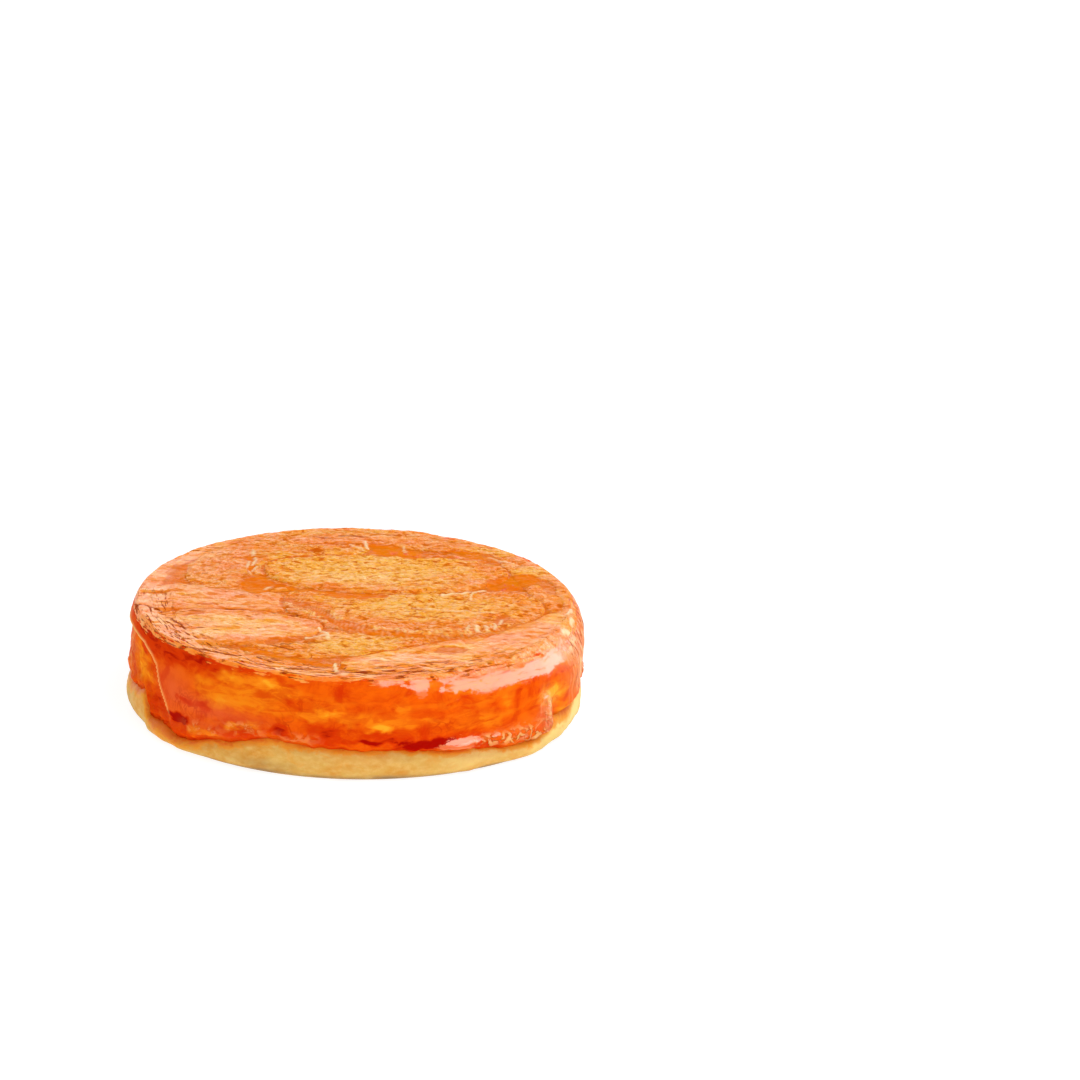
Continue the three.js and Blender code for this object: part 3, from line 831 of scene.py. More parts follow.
def glaze_colour(finish, colours):
    """The top's colour: orange glaze, golden where fruit shines through, saturated in the pools,
    darker between the crinkles as painted shade, pale on the ridges as painted glints and red-brown
    in the cracks. Short dark and pale dashes lie along the fruit's fibres: the pale ones are a
    painted sheen on the crinkles, the dark ones partly dark marks and partly painted shade. Slits
    lie where the glaze is smooth, and thin dark tears along the rim. Returns the colour, the
    dashes' height and how much of the veil the dark marks leave."""
    cloud = finish.noise(6, detail=5, roughness=0.6, distortion=0.5, stretch=(1.6, 1, 1))
    fleck = finish.noise(1.4, detail=4, roughness=0.65, distortion=0.8, stretch=(1.8, 1, 1))
    dashes = finish.noise(1.35, detail=3, roughness=0.55, distortion=0.8, stretch=(1.9, 1, 1))
    slits = finish.noise(1.0, detail=4, roughness=0.55, distortion=0.8, stretch=(4.4, 1, 1))
    grain = finish.noise(0.7, detail=2, roughness=0.5, distortion=0.4, stretch=(2.3, 1, 1))
    streaky, grainy = finish.field("streaky"), finish.field("grainy")
    # Dark dashes and dots: partly dark marks in the fruit, partly painted shade on the crinkles.
    dark = finish.times(finish.span(dashes, 0.56, 0.64, 0.0, 0.95), streaky)
    dots = finish.times(finish.span(grain, 0.56, 0.66, 0.0, 0.6), grainy)
    dark = finish.math("MAXIMUM", dark, dots)
    split = finish.times(finish.span(slits, 0.61, 0.66, 0.0, 0.85), finish.field("split"))
    tears = finish.rim_noise(4.2, 0.6, detail=4, roughness=0.55, distortion=0.5)
    rim_lines = finish.times(finish.span(tears, 0.545, 0.6, 0.0, 0.95), finish.field("band"))
    split = finish.math("MAXIMUM", split, rim_lines)
    # Pale dashes and dots: a painted sheen on the crinkles.
    light = finish.times(finish.span(dashes, 0.46, 0.36, 0.0, 0.3), streaky)
    light_dots = finish.times(finish.span(grain, 0.45, 0.36, 0.0, 0.3), grainy)
    light = finish.math("MAXIMUM", light, light_dots)
    colour = finish.blend(finish.span(cloud, 0.35, 0.65), colours.glaze, colours.glaze_deep)
    gold = finish.math("ADD", finish.field("gold"), finish.span(cloud, 0.3, 0.7, 0.22, -0.22))
    gold = finish.math("ADD", gold, finish.span(fleck, 0.35, 0.65, -0.16, 0.16))
    colour = finish.blend(finish.span(gold, 0.05, 0.75), colour, colours.apple_golden)
    colour = finish.blend(finish.span(gold, 0.7, 1.15), colour, colours.apple_pale)
    pool = finish.math("ADD", finish.field("pool"), finish.span(fleck, 0.3, 0.7, -0.12, 0.12))
    clear = finish.blend(finish.span(cloud, 0.4, 0.6), colours.pool, colours.pool_deep)
    colour = finish.blend(finish.span(pool, 0.2, 0.75), colour, clear)
    # The pools' edges are darker.
    shore = finish.times(finish.span(pool, 0.15, 0.45), finish.span(pool, 0.95, 0.6))
    colour = finish.blend(finish.times(shore, 0.45), colour, colours.dark_glaze_and_shade)
    colour = finish.blend(light, colour, colours.pale_and_glint)
    # Painted shade in the valleys between the crinkles.
    colour = finish.blend(finish.times(finish.field("crease_shade"), 0.5), colour, colours.dark_glaze_and_shade)
    colour = finish.blend(dark, colour, colours.dark_glaze_and_shade)
    colour = finish.blend(split, colour, colours.crack)
    # Painted glints on the ridges, with pale fibres and dried glaze.
    colour = finish.blend(finish.field("pale_and_glint"), colour, colours.pale_and_glint)
    colour = finish.blend(finish.field("crack"), colour, colours.crack)
    height = finish.times(finish.span(dashes, 0.64, 0.36, -0.5, 0.5), streaky)
    left_of_veil = finish.span(finish.math("MAXIMUM", dark, split), 0.0, 0.5, 1.0, 0.0)
    return colour, height, left_of_veil


def caramel_jelly(colours):
    """Clear orange jelly over soft fruit: golden where fruit shines through, dark red in the thick
    places, with red swirls and a coral skin, partly a painted pink sheen, that ends in a pale torn
    edge. Curls have crests painted pale as highlights and creases painted dark as shadow, and the
    gathered places upright wrinkles in three tones: a painted sheen, painted shade and dark lines.
    Its top has the colour of the glaze, down to a ragged line on the rim. Where it is wettest, its
    clear coat is whole and the surface under it smooth, but for thin tears, and its colour is
    painted a paler coral as part of the highlight."""
    jelly = Finish(
        "caramel_jelly",
        specular_ior_level=0.0,
        ior=1.4,
        coat_ior=1.45,
        coat_roughness=0.05,
        subsurface_weight=0.4,
        subsurface_radius=(1.0, 0.3, 0.06),
        subsurface_scale=2.2 * MM,
    )
    cloud = jelly.noise(6.5, detail=6, roughness=0.62, distortion=0.9, stretch=(1.2, 1.2, 1))
    streaks = jelly.noise(2.2, detail=5, roughness=0.6, distortion=0.8, stretch=(2.6, 2.6, 0.8))
    curled = jelly.noise(1.9, detail=2, roughness=0.5, distortion=1.2, stretch=(1.5, 1.5, 1))
    pleats = jelly.noise(0.9, detail=3, roughness=0.55, distortion=0.5, stretch=(1, 1, 9))
    pulp = jelly.noise(3.6, detail=2, roughness=0.45, distortion=1.4, stretch=(1.2, 1.2, 1))
    torn = jelly.noise(1.5, detail=5, roughness=0.68, distortion=0.8, stretch=(1.7, 1.7, 1))
    colour = jelly.blend(jelly.span(cloud, 0.34, 0.64), colours.caramel_deep, colours.caramel)
    colour = jelly.blend(jelly.span(streaks, 0.5, 0.62, 0.0, 0.25), colour, colours.caramel_deep)
    gold = jelly.times(jelly.field("fruit"), jelly.span(streaks, 0.6, 0.4, 0.6, 1.1))
    colour = jelly.blend(jelly.span(gold, 0.12, 0.8), colour, colours.caramel_golden)
    colour = jelly.blend(jelly.span(gold, 0.7, 1.3), colour, colours.fruit)
    # A coral tint on the wall, partly a painted pink sheen.
    sheen_haze = jelly.times(jelly.field("sheen_haze"), jelly.span(cloud, 0.3, 0.6, 0.6, 1.0))
    colour = jelly.blend(sheen_haze, colour, colours.sheen_haze)
    line = jelly.math("ABSOLUTE", jelly.math("SUBTRACT", pulp, 0.5))
    swirl = jelly.times(jelly.span(line, 0.06, 0.012, 0.0, 0.7), jelly.field("swirl"))
    colour = jelly.blend(swirl, colour, colours.caramel_swirl)
    dark = jelly.times(jelly.field("dark"), jelly.span(streaks, 0.35, 0.62, 1.25, 0.6))
    colour = jelly.blend(jelly.span(dark, 0.1, 0.8), colour, colours.caramel_deep)
    colour = jelly.blend(jelly.span(dark, 0.65, 1.5), colour, colours.caramel_red)
    colour = jelly.blend(jelly.times(jelly.field("lip"), 0.95), colour, colours.skin_edge)
    curl = jelly.field("curl")
    fold = jelly.math("ABSOLUTE", jelly.math("SUBTRACT", curled, 0.5))
    # Painted highlight on the curls' crests and painted shadow in their creases.
    crests = jelly.times(jelly.span(curled, 0.46, 0.58), curl)
    colour = jelly.blend(crests, colour, colours.curl_crest_highlight)
    creases = jelly.times(jelly.span(fold, 0.034, 0.008, 0.0, 0.85), curl)
    colour = jelly.blend(creases, colour, colours.dark_glaze_and_shade)
    # The gathered places are painted paler as a sheen, and their wrinkles in three tones: a pale
    # painted highlight, painted shade and dark lines.
    pleated = jelly.field("pleat")
    colour = jelly.blend(jelly.times(pleated, 0.28), colour, colours.pale_and_glint)
    for low, high, share, tone in (
        (0.48, 0.4, 0.7, colours.pale_and_glint),
        (0.53, 0.6, 0.7, colours.dark_glaze_and_shade),
        (0.58, 0.64, 0.75, colours.crack),
    ):
        wrinkles = jelly.times(jelly.span(pleats, low, high, 0.0, share), pleated)
        colour = jelly.blend(wrinkles, colour, tone)
    glaze, dashes, left_of_veil = glaze_colour(jelly, colours)
    fringe = jelly.rim_noise(2.6, 0.5, detail=4, roughness=0.6, distortion=0.7)
    rise = jelly.math("ADD", jelly.field("top"), jelly.span(fringe, 0.35, 0.65, -0.22, 0.22))
    top = jelly.span(rise, 0.45, 0.55)
    colour = jelly.blend(top, colour, glaze)
    shine = jelly.math("ADD", jelly.field("shine"), jelly.span(torn, 0.35, 0.65, -0.34, 0.34))
    shine = jelly.math("ADD", shine, jelly.span(fringe, 0.35, 0.65, -0.15, 0.15))
    scratches = jelly.rim_noise(3.4, 0.55, detail=4, roughness=0.6, distortion=0.6)
    unbroken = jelly.span(scratches, 0.58, 0.63, 1.0, 0.35)
    shine = jelly.times(jelly.span(shine, 0.5, 0.62), unbroken)
    # Under the mirrored highlight the colour is painted a paler coral, as part of the highlight.
    colour = jelly.blend(jelly.times(shine, 0.75), colour, colours.highlight_caramel)
    wet = jelly.math("MAXIMUM", jelly.field("wet"), shine)
    wet = jelly.math("MAXIMUM", wet, jelly.times(crests, 0.22))
    veil = jelly.times(jelly.field("veil"), left_of_veil)
    coat = jelly.mix(top, wet, veil)
    fine = jelly.noise(1.1, detail=4, roughness=0.6, distortion=0.8)
    crinkle = jelly.times(jelly.field("crinkle"), jelly.span(shine, 0, 1, 1.0, 0.3))
    normal = jelly.bump(fine, 0.3, crinkle)
    normal = jelly.bump(dashes, 0.12, jelly.times(top, 0.7), under=normal)
    normal = jelly.bump(jelly.span(curled, 0.4, 0.62), 0.6, curl, under=normal)
    normal = jelly.bump(pleats, 0.8, pleated, under=normal)
    normal = jelly.bump(streaks, 0.4, jelly.span(shine, 0, 1, 0.45, 0.1), under=normal)
    return jelly.finish(base_color=colour, coat_weight=coat, normal=normal, coat_normal=normal)


def glazed_apple(colours):
    """Cooked fruit under a thin glaze that mirrors the room where it lies smooth."""
    apple = Finish(
        "glazed_apple",
        specular_ior_level=0.0,
        ior=1.4,
        coat_ior=1.45,
        coat_roughness=0.07,
        subsurface_weight=0.35,
        subsurface_radius=(1.0, 0.4, 0.12),
        subsurface_scale=1.6 * MM,
    )
    fine = apple.noise(0.9, detail=4, roughness=0.62, distortion=1.2)
    colour, dashes, left_of_veil = glaze_colour(apple, colours)
    normal = apple.bump(fine, 0.2, apple.span(apple.field("crinkle"), 0, 1, 0.15, 1.0))
    normal = apple.bump(dashes, 0.12, 0.7, under=normal)
    veil = apple.times(apple.field("veil"), left_of_veil)
    return apple.finish(base_color=colour, coat_weight=veil, normal=normal, coat_normal=normal)


# ---- Forms of the pieces -------------------------------------------------------------------------


# The level of the dough under the filling and of the filling's own underside.
DOUGH_FLOOR = 3.7
FILLING_FLOOR = 4.0

# How many rings run up the crust's edge, up the filling's wall, round its rim and across its top.
EDGE_RINGS = 84
WALL_RINGS = 64
RIM_RINGS = 20
TOP_RINGS = 50


def crust_surface(sizes, columns=640):
    """The crust: rings from the middle of the underside out round the foot, up the edge, over the
    shoulder and in to the flat middle. The edge follows eight knots, set in and raised in shares of
    the edge's own height, plus lumps, dents and grain. Returns the points and the fields
    toast_and_shade, soaked and pale; the first darkens the foot, as toasting and as painted shade."""
    azimuth = -180 + 360 * np.arange(columns) / columns
    height = around(CRUST_EDGE, azimuth, 1)
    radius = sizes.crust_radius / MM + around(CRUST_EDGE, azimuth, 2)
    knots_in = np.array([2.2, 0.8, 0.15, 0.0, 0.35, 1.1, 2.2, 4.2])
    knots_up = np.array([0.0, 0.12, 0.3, 0.55, 0.8, 0.95, 1.0, 0.99])
    way = np.linspace(0, 1, EDGE_RINGS)
    inward = curve(knots_in, way)[:, None]
    raised = curve(knots_up, way)[:, None]
    edge = polar(azimuth, radius - inward, raised * height, CRUST_MIDDLE)
    outward = polar(azimuth, 1.0, 0.0, np.zeros(3))
    tilt = ease(way, 0.45, 0.95)[:, None, None]
    normal = outward * (1 - 0.8 * tilt) + np.array([0, 0, 1]) * 0.8 * tilt
    relief = 0.5 * noise(edge, (9, 9, 6), 11) + 0.26 * noise(edge, (3.8, 3.8, 2.8), 12)
    relief += 0.07 * fractal(edge, (1.3, 1.3, 1.0), 13, octaves=2)
    free = ease(way, 0.0, 0.16)[:, None]
    edge = edge + normal * (relief * free)[..., None]
    lift = sizes.foot_lift / MM * np.clip(noise(edge, (16, 16, 40), 17), 0, 1)
    lift = lift * ease(way, 0.0, 0.1)[:, None]
    edge[..., 2] = np.maximum(edge[..., 2] + lift * ease(way, 0.5, 0.15)[:, None], 0)
    under = polar(azimuth, np.array([4.0, 30.0, 46.5])[:, None], 0.0, CRUST_MIDDLE)
    inner = polar(azimuth, np.array([42.0, 20.0, 4.0])[:, None], DOUGH_FLOOR, CRUST_MIDDLE)
    points = np.concatenate([under, edge, inner])
    level = points[..., 2]
    below_top = height - level
    # The foot is darker, partly toasting and partly a painted contact shadow.
    toast_and_shade = np.concatenate([np.ones(3), ease(way, 0.24, 0.06), np.zeros(3)])[:, None]
    toast_and_shade = np.clip(toast_and_shade + patches(TOASTED, azimuth, level), 0, 1)
    soak_depth = 2.1 + 1.3 * noise(polar(azimuth, 50.0, 0.0, np.zeros(3)), 6, 19)
    stained = around(STAIN, azimuth, 1) * 2.6
    soaked = ease(below_top, soak_depth + stained, 0.0) * 1.25
    pale = patches(PALE_DOUGH, azimuth, level)
    return points, {"toast_and_shade": toast_and_shade, "soaked": soaked, "pale": pale}


# Places near the foot of the dough that are darker, partly baked darker and partly painted shade:
# azimuth, height, width in degrees, tall, strength.
TOASTED = (
    (-22, 2.4, 9.0, 1.6, 0.5),
    (-46, 1.4, 10.0, 1.2, 0.35),
    (6, 1.2, 12.0, 0.8, 0.3),
    (-80, 2.0, 10.0, 2.0, 0.3),
    (120, 1.5, 14.0, 1.4, 0.4),
    (-150, 1.5, 14.0, 1.4, 0.4),
)

# Pale places on the dough, partly floury and, on the right side where the key light falls, a
# painted highlight: azimuth, height, width in degrees, tall, strength.
PALE_DOUGH = (
    (72, 5.0, 16.0, 3.5, 1.1),
    (37, 4.0, 5.0, 1.4, 0.5),
    (29, 3.2, 7.0, 2.2, 0.6),
    (52, 3.0, 9.0, 2.4, 0.5),
    (3, 5.2, 10.0, 1.6, 0.25),
    (-80, 4.0, 8.0, 3.0, 0.2),
    (130, 4.0, 12.0, 2.5, 0.5),
    (-150, 4.0, 12.0, 2.5, 0.4),
)

# How far caramel has run down the crust: azimuth, share.
STAIN = (
    (-180, 0.3),
    (-120, 0.6),
    (-78, 0.4),
    (-64, 0.9),
    (-50, 0.7),
    (-32, 0.45),
    (-12, 0.5),
    (10, 0.2),
    (24, 0.15),
    (50, 0.15),
    (62, 0.9),
    (85, 0.3),
    (130, 0.6),
)


# How far the thin edge of the skin stands out, and its half width.
LIP = 0.28


def wall_radius(azimuth, height, sizes):
    """The moulded wall's radius: a barrel, a bead along the foot, the lumps, and the hollow below
    the skin's edge at the left, where the radius steps in and the bare fruit is lumpy. Returns the
    radius, where the fruit is bare, where the skin's edge stands out, and the places on a plain
    cylinder at which noise is read."""
    foot = around(CRUST_EDGE, azimuth, 1)
    barrel = 0.6 * ((height - 10.5) / 7.5) ** 2
    bead = 0.5 * np.exp(-(((height - foot - 1.5) / 1.5) ** 2))
    radius = sizes.filling_radius / MM - barrel + bead + patches(WALL_LUMPS, azimuth, height)
    across = np.radians(1) * sizes.filling_radius / MM
    knots = [(at * across, level) for at, level in SKIN_EDGE]
    gap, side = line_distance(np.broadcast_to(azimuth * across, height.shape), height, knots)
    bare = ease(-side * gap, 0.0, 1.4) * ease(azimuth, -112, -100) * ease(azimuth, -46, -51)
    place = polar(azimuth, 51.0, height, np.zeros(3))
    radius = radius - bare * (0.9 + 0.5 * noise(place, (3.0, 3.0, 2.2), 23))
    lip = LIP * np.exp(-((gap / LIP) ** 2)) * ease(azimuth, -100, -84) * ease(height, 7.0, 9.5)
    lip = lip * ease(azimuth, -48, -52)
    return radius + lip, bare, lip / LIP, place


# How much longer the tears of the top's edge are than wide.
TEAR_STRETCH = 6.0


def caramel_surface(sizes, slices, columns=700):
    """The filling: rings from under the middle out over the crust's shoulder, up the wall, round
    the rim and in across the top. The rim is a quarter ellipse taken off the wall's radius, tall
    and soft at the right, short at the left. The top is level with small waves, and dives under the
    slices, which are given as top_sink takes them. Returns the points and the fields."""
    azimuth = -180 + 360 * np.arange(columns) / columns
    foot = around(CRUST_EDGE, azimuth, 1)
    edge = sizes.crust_radius / MM + around(CRUST_EDGE, azimuth, 2)
    level = sizes.caramel_level / MM
    circle = polar(azimuth, 50.0, 0.0, np.zeros(3))
    crimps = 0.6 * noise(circle, 4, 31) + 0.6 * noise(circle, 1.9, 32)
    under = [
        polar(azimuth, 4.0, FILLING_FLOOR, CRUST_MIDDLE),
        polar(azimuth, 42.0, FILLING_FLOOR, CRUST_MIDDLE),
        polar(azimuth, edge - 4.0, foot - 0.4, CRUST_MIDDLE),
        polar(azimuth, edge - 2.4, foot - 0.5, CRUST_MIDDLE),
        polar(azimuth, edge - 1.1, foot - 0.7 + 0.5 * crimps, CRUST_MIDDLE),
    ]
    rim_tall, rim_deep = around(RIM_SHAPE, azimuth, 1), around(RIM_SHAPE, azimuth, 2)
    lowest = foot + 0.5 + crimps
    wall_top = level - rim_tall
    wall_height = lowest + (wall_top - lowest) * np.linspace(0, 1, WALL_RINGS)[:, None] ** 1.1
    turn = np.radians(np.linspace(0, 90, RIM_RINGS + 1)[1:])[:, None]
    height = np.concatenate([wall_height, wall_top + rim_tall * np.sin(turn)])
    taken = np.concatenate([np.zeros_like(wall_height), rim_deep * (1 - np.cos(turn))])
    radius, bare, lip, place = wall_radius(azimuth, height, sizes)
    from_foot = 1 - np.clip((height - lowest) / 0.9, 0, 1)
    tuck = 0.8 * (1 - np.sqrt(np.clip(1 - from_foot**2, 0, 1)))
    waves = 0.16 * noise(place, (13, 13, 9), 41) + 0.07 * noise(place, (4, 4, 5), 42)
    jammy = ease(height - foot, 4.2, 1.2)
    curls = ease(azimuth, 31, 37) * ease(azimuth, 53, 47)
    worms = ease(1 - np.abs(noise(place, (2.6, 2.6, 2.0), 43)), 0.55, 0.95) - 0.4
    jam = jammy * ((0.16 + 0.5 * curls) * worms + 0.14 * noise(place, 1.6, 44))
    pleated = np.clip(patches(PLEAT_PATCHES, azimuth, height), 0, 1)
    jam = jam + 0.3 * pleated * noise(place, (1.5, 1.5, 9), 48)
    side = polar(azimuth, radius - taken - tuck + waves + jam, height, FILLING_MIDDLE)
    top_radius = (radius - taken)[-1]
    inward = 1 - 0.98 * np.linspace(0, 1, TOP_RINGS + 1)[1:, None] ** 1.6
    top = polar(azimuth, top_radius * inward, level, FILLING_MIDDLE)
    points = np.concatenate([*(ring[None] for ring in under), side, top])
    wall = slice(len(under), len(under) + len(side))
    rim = slice(wall.stop - RIM_RINGS, None)
    reach = reach_of(points)
    edge_drop = 0.6 + 0.9 * ease(azimuth, -50, -80) * ease(azimuth, -150, -110)
    edge_drop = edge_drop + 1.5 * ease(azimuth, 14, 34) * ease(azimuth, 96, 76)
    on_top = np.zeros(points.shape[:2])
    run = points[rim, :, 2] - reach[rim]
    stretched = polar(azimuth, 50.0 / TEAR_STRETCH, run, np.zeros(3))
    tears = 1.0 * noise(stretched, 0.75, 46) + 0.35 * noise(stretched, 0.4, 47)
    on_top[rim] = np.clip((points[rim, :, 2] - level + edge_drop + tears) / 1.6 + 0.5, 0, 1)
    solid_top = ease(on_top, 0.5, 0.9)
    relief, looks = top_looks(points, 0.6)
    covered, _ = top_sink(points, slices, FILLING_DIP)
    drowned = frayed(reach, points * [1, 1, 0])
    relief = relief + 0.22 * looks["pool"]
    points[..., 2] += solid_top * (relief * ease(reach, 50, 47.5) + 0.12 * ease(reach, 43, 46))
    points[..., 2] -= covered * solid_top * ease(drowned, 45.5, 44.0)
    heights = points[..., 2]
    between = ease(reach, 45.5, 43.5) * solid_top
    looks["pool"] = np.maximum(looks["pool"], 0.85 * between)
    looks["veil"] = np.clip(looks["veil"] * (1 - 0.6 * between), 0, 1)
    azimuths = np.broadcast_to(azimuth, heights.shape)
    coarse, fine = (2.6, 2.6, 1.7), (1.1, 1.1, 0.8)
    torn_azimuths = azimuths + 1.8 * noise(points, coarse, 91) + 0.8 * noise(points, fine, 93)
    torn_heights = heights + 0.8 * noise(points, coarse, 92) + 0.35 * noise(points, fine, 94)
    gold = patches(GOLDEN_PATCHES, torn_azimuths, torn_heights) + 0.08
    gold[wall] += 0.1 * bare
    dark = patches(DARK_PATCHES, torn_azimuths, torn_heights)
    dark = dark + 0.4 * ease(heights - foot, 1.6, 0.5)
    curl = np.clip(patches(CURL_PATCHES, torn_azimuths, torn_heights), 0, 1)
    sheen_haze = np.clip(patches(PINK_SHEEN_PATCHES, torn_azimuths, torn_heights), 0, 1)
    pleat = np.clip(patches(PLEAT_PATCHES, azimuths, heights), 0, 1)
    below = np.zeros(points.shape[:2])
    below[wall] = 1 - solid_top[wall]
    rough = np.zeros(points.shape[:2])
    rough[wall] = np.clip(bare * 0.8 + jammy * (0.35 + curls), 0, 1)
    dampness = 0.02 + 0.2 * np.maximum(ease(azimuths, 84, 100), ease(azimuths, -96, -110))
    lip_line = np.zeros(points.shape[:2])
    lip_line[wall] = lip
    fields = {
        **looks,
        "fruit": gold,
        "dark": dark,
        "top": on_top,
        "crinkle": np.maximum(looks["crinkle"] * solid_top, rough * below),
        "curl": curl * (1 - solid_top),
        "swirl": np.clip(patches(SWIRL_PATCHES, azimuths, heights), 0, 1),
        "wet": np.clip(dampness + patches(WET_PATCHES, azimuths, heights), 0, 1),
        "shine": np.clip(patches(SHINE_PATCHES, azimuths, heights), 0, 1.5),
        "lip": lip_line,
        "sheen_haze": sheen_haze,
        "pleat": pleat * (1 - solid_top),
    }
    return points, fields


# The rim's rounding: azimuth, how tall and how deep it is.
RIM_SHAPE = (
    (-170, 3.5, 1.2),
    (-100, 3.0, 1.0),
    (-60, 2.6, 0.9),
    (-8, 2.8, 0.9),
    (12, 5.0, 1.5),
    (28, 9.0, 3.2),
    (66, 9.5, 3.6),
    (86, 6.0, 2.4),
    (130, 3.5, 1.2),
)

# Where the rim and the lower edge are so wet that they mirror a window, and where a paler coral is
# painted under that highlight: azimuth, height, width in degrees, tall, strength. A place is wet
# where the sum is over a half, with a ragged edge.
SHINE_PATCHES = (
    (8, 22.9, 4.4, 1.1, 1.15),
    (16.5, 22.4, 3.0, 1.5, 1.2),
    (16.8, 20.6, 1.4, 1.4, 1.0),
    (23, 22.4, 1.4, 0.6, 0.8),
    (22.5, 20.4, 1.2, 0.5, 0.7),
    (28, 21.1, 4.0, 1.8, 1.1),
    (35, 20.7, 5.0, 2.0, 1.1),
    (42, 20.4, 6.0, 1.8, 1.0),
    (50, 20.1, 6.0, 1.8, 1.0),
    (57.5, 20.1, 5.5, 1.8, 1.0),
    (64.5, 20.4, 5.0, 1.8, 1.0),
    (70, 21.5, 3.0, 1.4, 0.7),
    (23, 7.7, 2.6, 0.7, 1.0),
    (27, 8.3, 4.4, 1.3, 1.4),
    (37, 8.9, 2.6, 0.6, 0.8),
    (46, 6.3, 3.0, 0.7, 0.8),
    (54.5, 10.0, 1.2, 4.0, 0.72),
    (130, 20.0, 20.0, 2.0, 1.0),
    (-170, 20.5, 12.0, 1.6, 0.9),
    (-120, 20.3, 10.0, 1.6, 0.8),
)

# Where the jam has set in curls, with crests painted pale as highlights and creases dark as shadow:
# azimuth, height, width in degrees, tall, strength.
CURL_PATCHES = (
    (34, 7.8, 4.0, 1.1, 1.0),
    (43, 7.2, 6.0, 1.5, 1.2),
    (50, 5.6, 4.0, 1.8, 1.1),
    (55.5, 9.0, 2.6, 4.5, 1.1),
    (84, 10.0, 5.0, 3.0, 0.5),
    (92, 12.0, 6.0, 6.0, 0.5),
    (-74, 10.4, 7.0, 2.4, 0.1),
    (-86, 13.0, 5.0, 5.0, 0.5),
    (-28, 10.4, 5.0, 1.4, 0.5),
    (-40, 7.8, 5.0, 1.0, 0.5),
    (-14, 9.6, 5.0, 1.0, 0.4),
    (115, 8.5, 10.0, 1.6, 0.7),
    (160, 8.0, 12.0, 1.4, 0.7),
    (-140, 8.0, 12.0, 1.6, 0.7),
)

# Where a coral skin, partly a painted pink sheen, lies over the caramel: azimuth, height, width in
# degrees, tall, strength.
PINK_SHEEN_PATCHES = (
    (-52, 14.0, 7.0, 4.5, 0.75),
    (-36, 12.3, 13.0, 1.8, 0.7),
    (-53, 7.5, 5.0, 1.6, 0.4),
    (-40, 8.2, 10.0, 1.5, 0.5),
    (76, 16.0, 10.0, 7.0, 0.7),
    (55, 9.5, 3.0, 4.0, 0.5),
    (100, 12.5, 10.0, 5.0, 0.2),
    (-160, 12.5, 24.0, 3.0, 0.15),
)

# Where the wall is gathered in upright wrinkles, painted with a pale sheen and shade: azimuth,
# height, width in degrees, tall, strength.
PLEAT_PATCHES = (
    (76, 15.5, 8.0, 6.0, 1.0),
    (90, 16.0, 9.0, 6.0, 0.6),
    (70, 21.0, 5.0, 2.0, 0.6),
    (55.5, 9.5, 2.6, 4.0, 0.7),
    (-84, 12.5, 6.0, 5.0, 0.15),
    (150, 14.5, 10.0, 5.0, 0.3),
    (-125, 14.5, 10.0, 5.0, 0.3),
    (100, 20.5, 18.0, 3.0, 0.8),
)

# Where thin red swirls show in the caramel: azimuth, height, width in degrees, tall, strength.
SWIRL_PATCHES = (
    (-46, 12.0, 8.0, 3.0, 1.0),
    (-17, 12.0, 4.0, 2.4, 1.0),
    (-5, 12.0, 5.0, 2.0, 0.9),
    (-14, 17.5, 6.0, 2.0, 0.7),
    (22, 12.7, 4.0, 1.6, 0.9),
    (5, 10.1, 10.0, 1.4, 0.5),
    (120, 12.5, 14.0, 3.0, 0.8),
    (170, 12.5, 14.0, 3.0, 0.8),
    (-130, 12.5, 14.0, 3.0, 0.8),
)

# Where the wall is wet and mirrors the room: azimuth, height, width in degrees, tall, strength.
WET_PATCHES = (
    (70, 20.5, 8.0, 3.0, 0.25),
    (-42, 12.5, 8.0, 2.2, 0.14),
    (43, 7.0, 10.0, 2.6, 0.12),
    (76, 13.5, 10.0, 8.0, 0.16),
    (-95, 16.5, 10.0, 6.0, 0.25),
    (130, 14.5, 25.0, 8.0, 0.28),
    (-150, 14.5, 25.0, 8.0, 0.28),
)


# ---- The slices ----------------------------------------------------------------------------------

# The distance rasters' step and half side.
RASTER_STEP = 0.25
RASTER_HALF = 54.0

# A spine runs over half a turn, less this at both tips. The power blunts the tips.
TIP_ANGLE = 0.012 * math.pi
BLUNTNESS = 0.85

# The step of a slice's grid, how far its edge reaches under the slices above, and how deep it dives
# there. The filling dives a little deeper, and the groove beside a slice is this narrow in it.
SLICE_STEP = 0.25
SLICE_TUCK = 2.2
SLICE_DIP = 2.3
FILLING_DIP = 2.4
FILLING_GROOVE = 0.1

# How far in from the edge a slice's back rounds down, the height and the depth of its lens-shaped
# underside, and how thin it may get.
ROUNDING = 2.0
UNDERSIDE = 21.9
LENS = 2.3
THINNEST = 0.9


def order_of(spec):
    """A slice's place in the table, which is also how many slices lie above it."""
    return [other["name"] for other in SLICES].index(spec["name"])


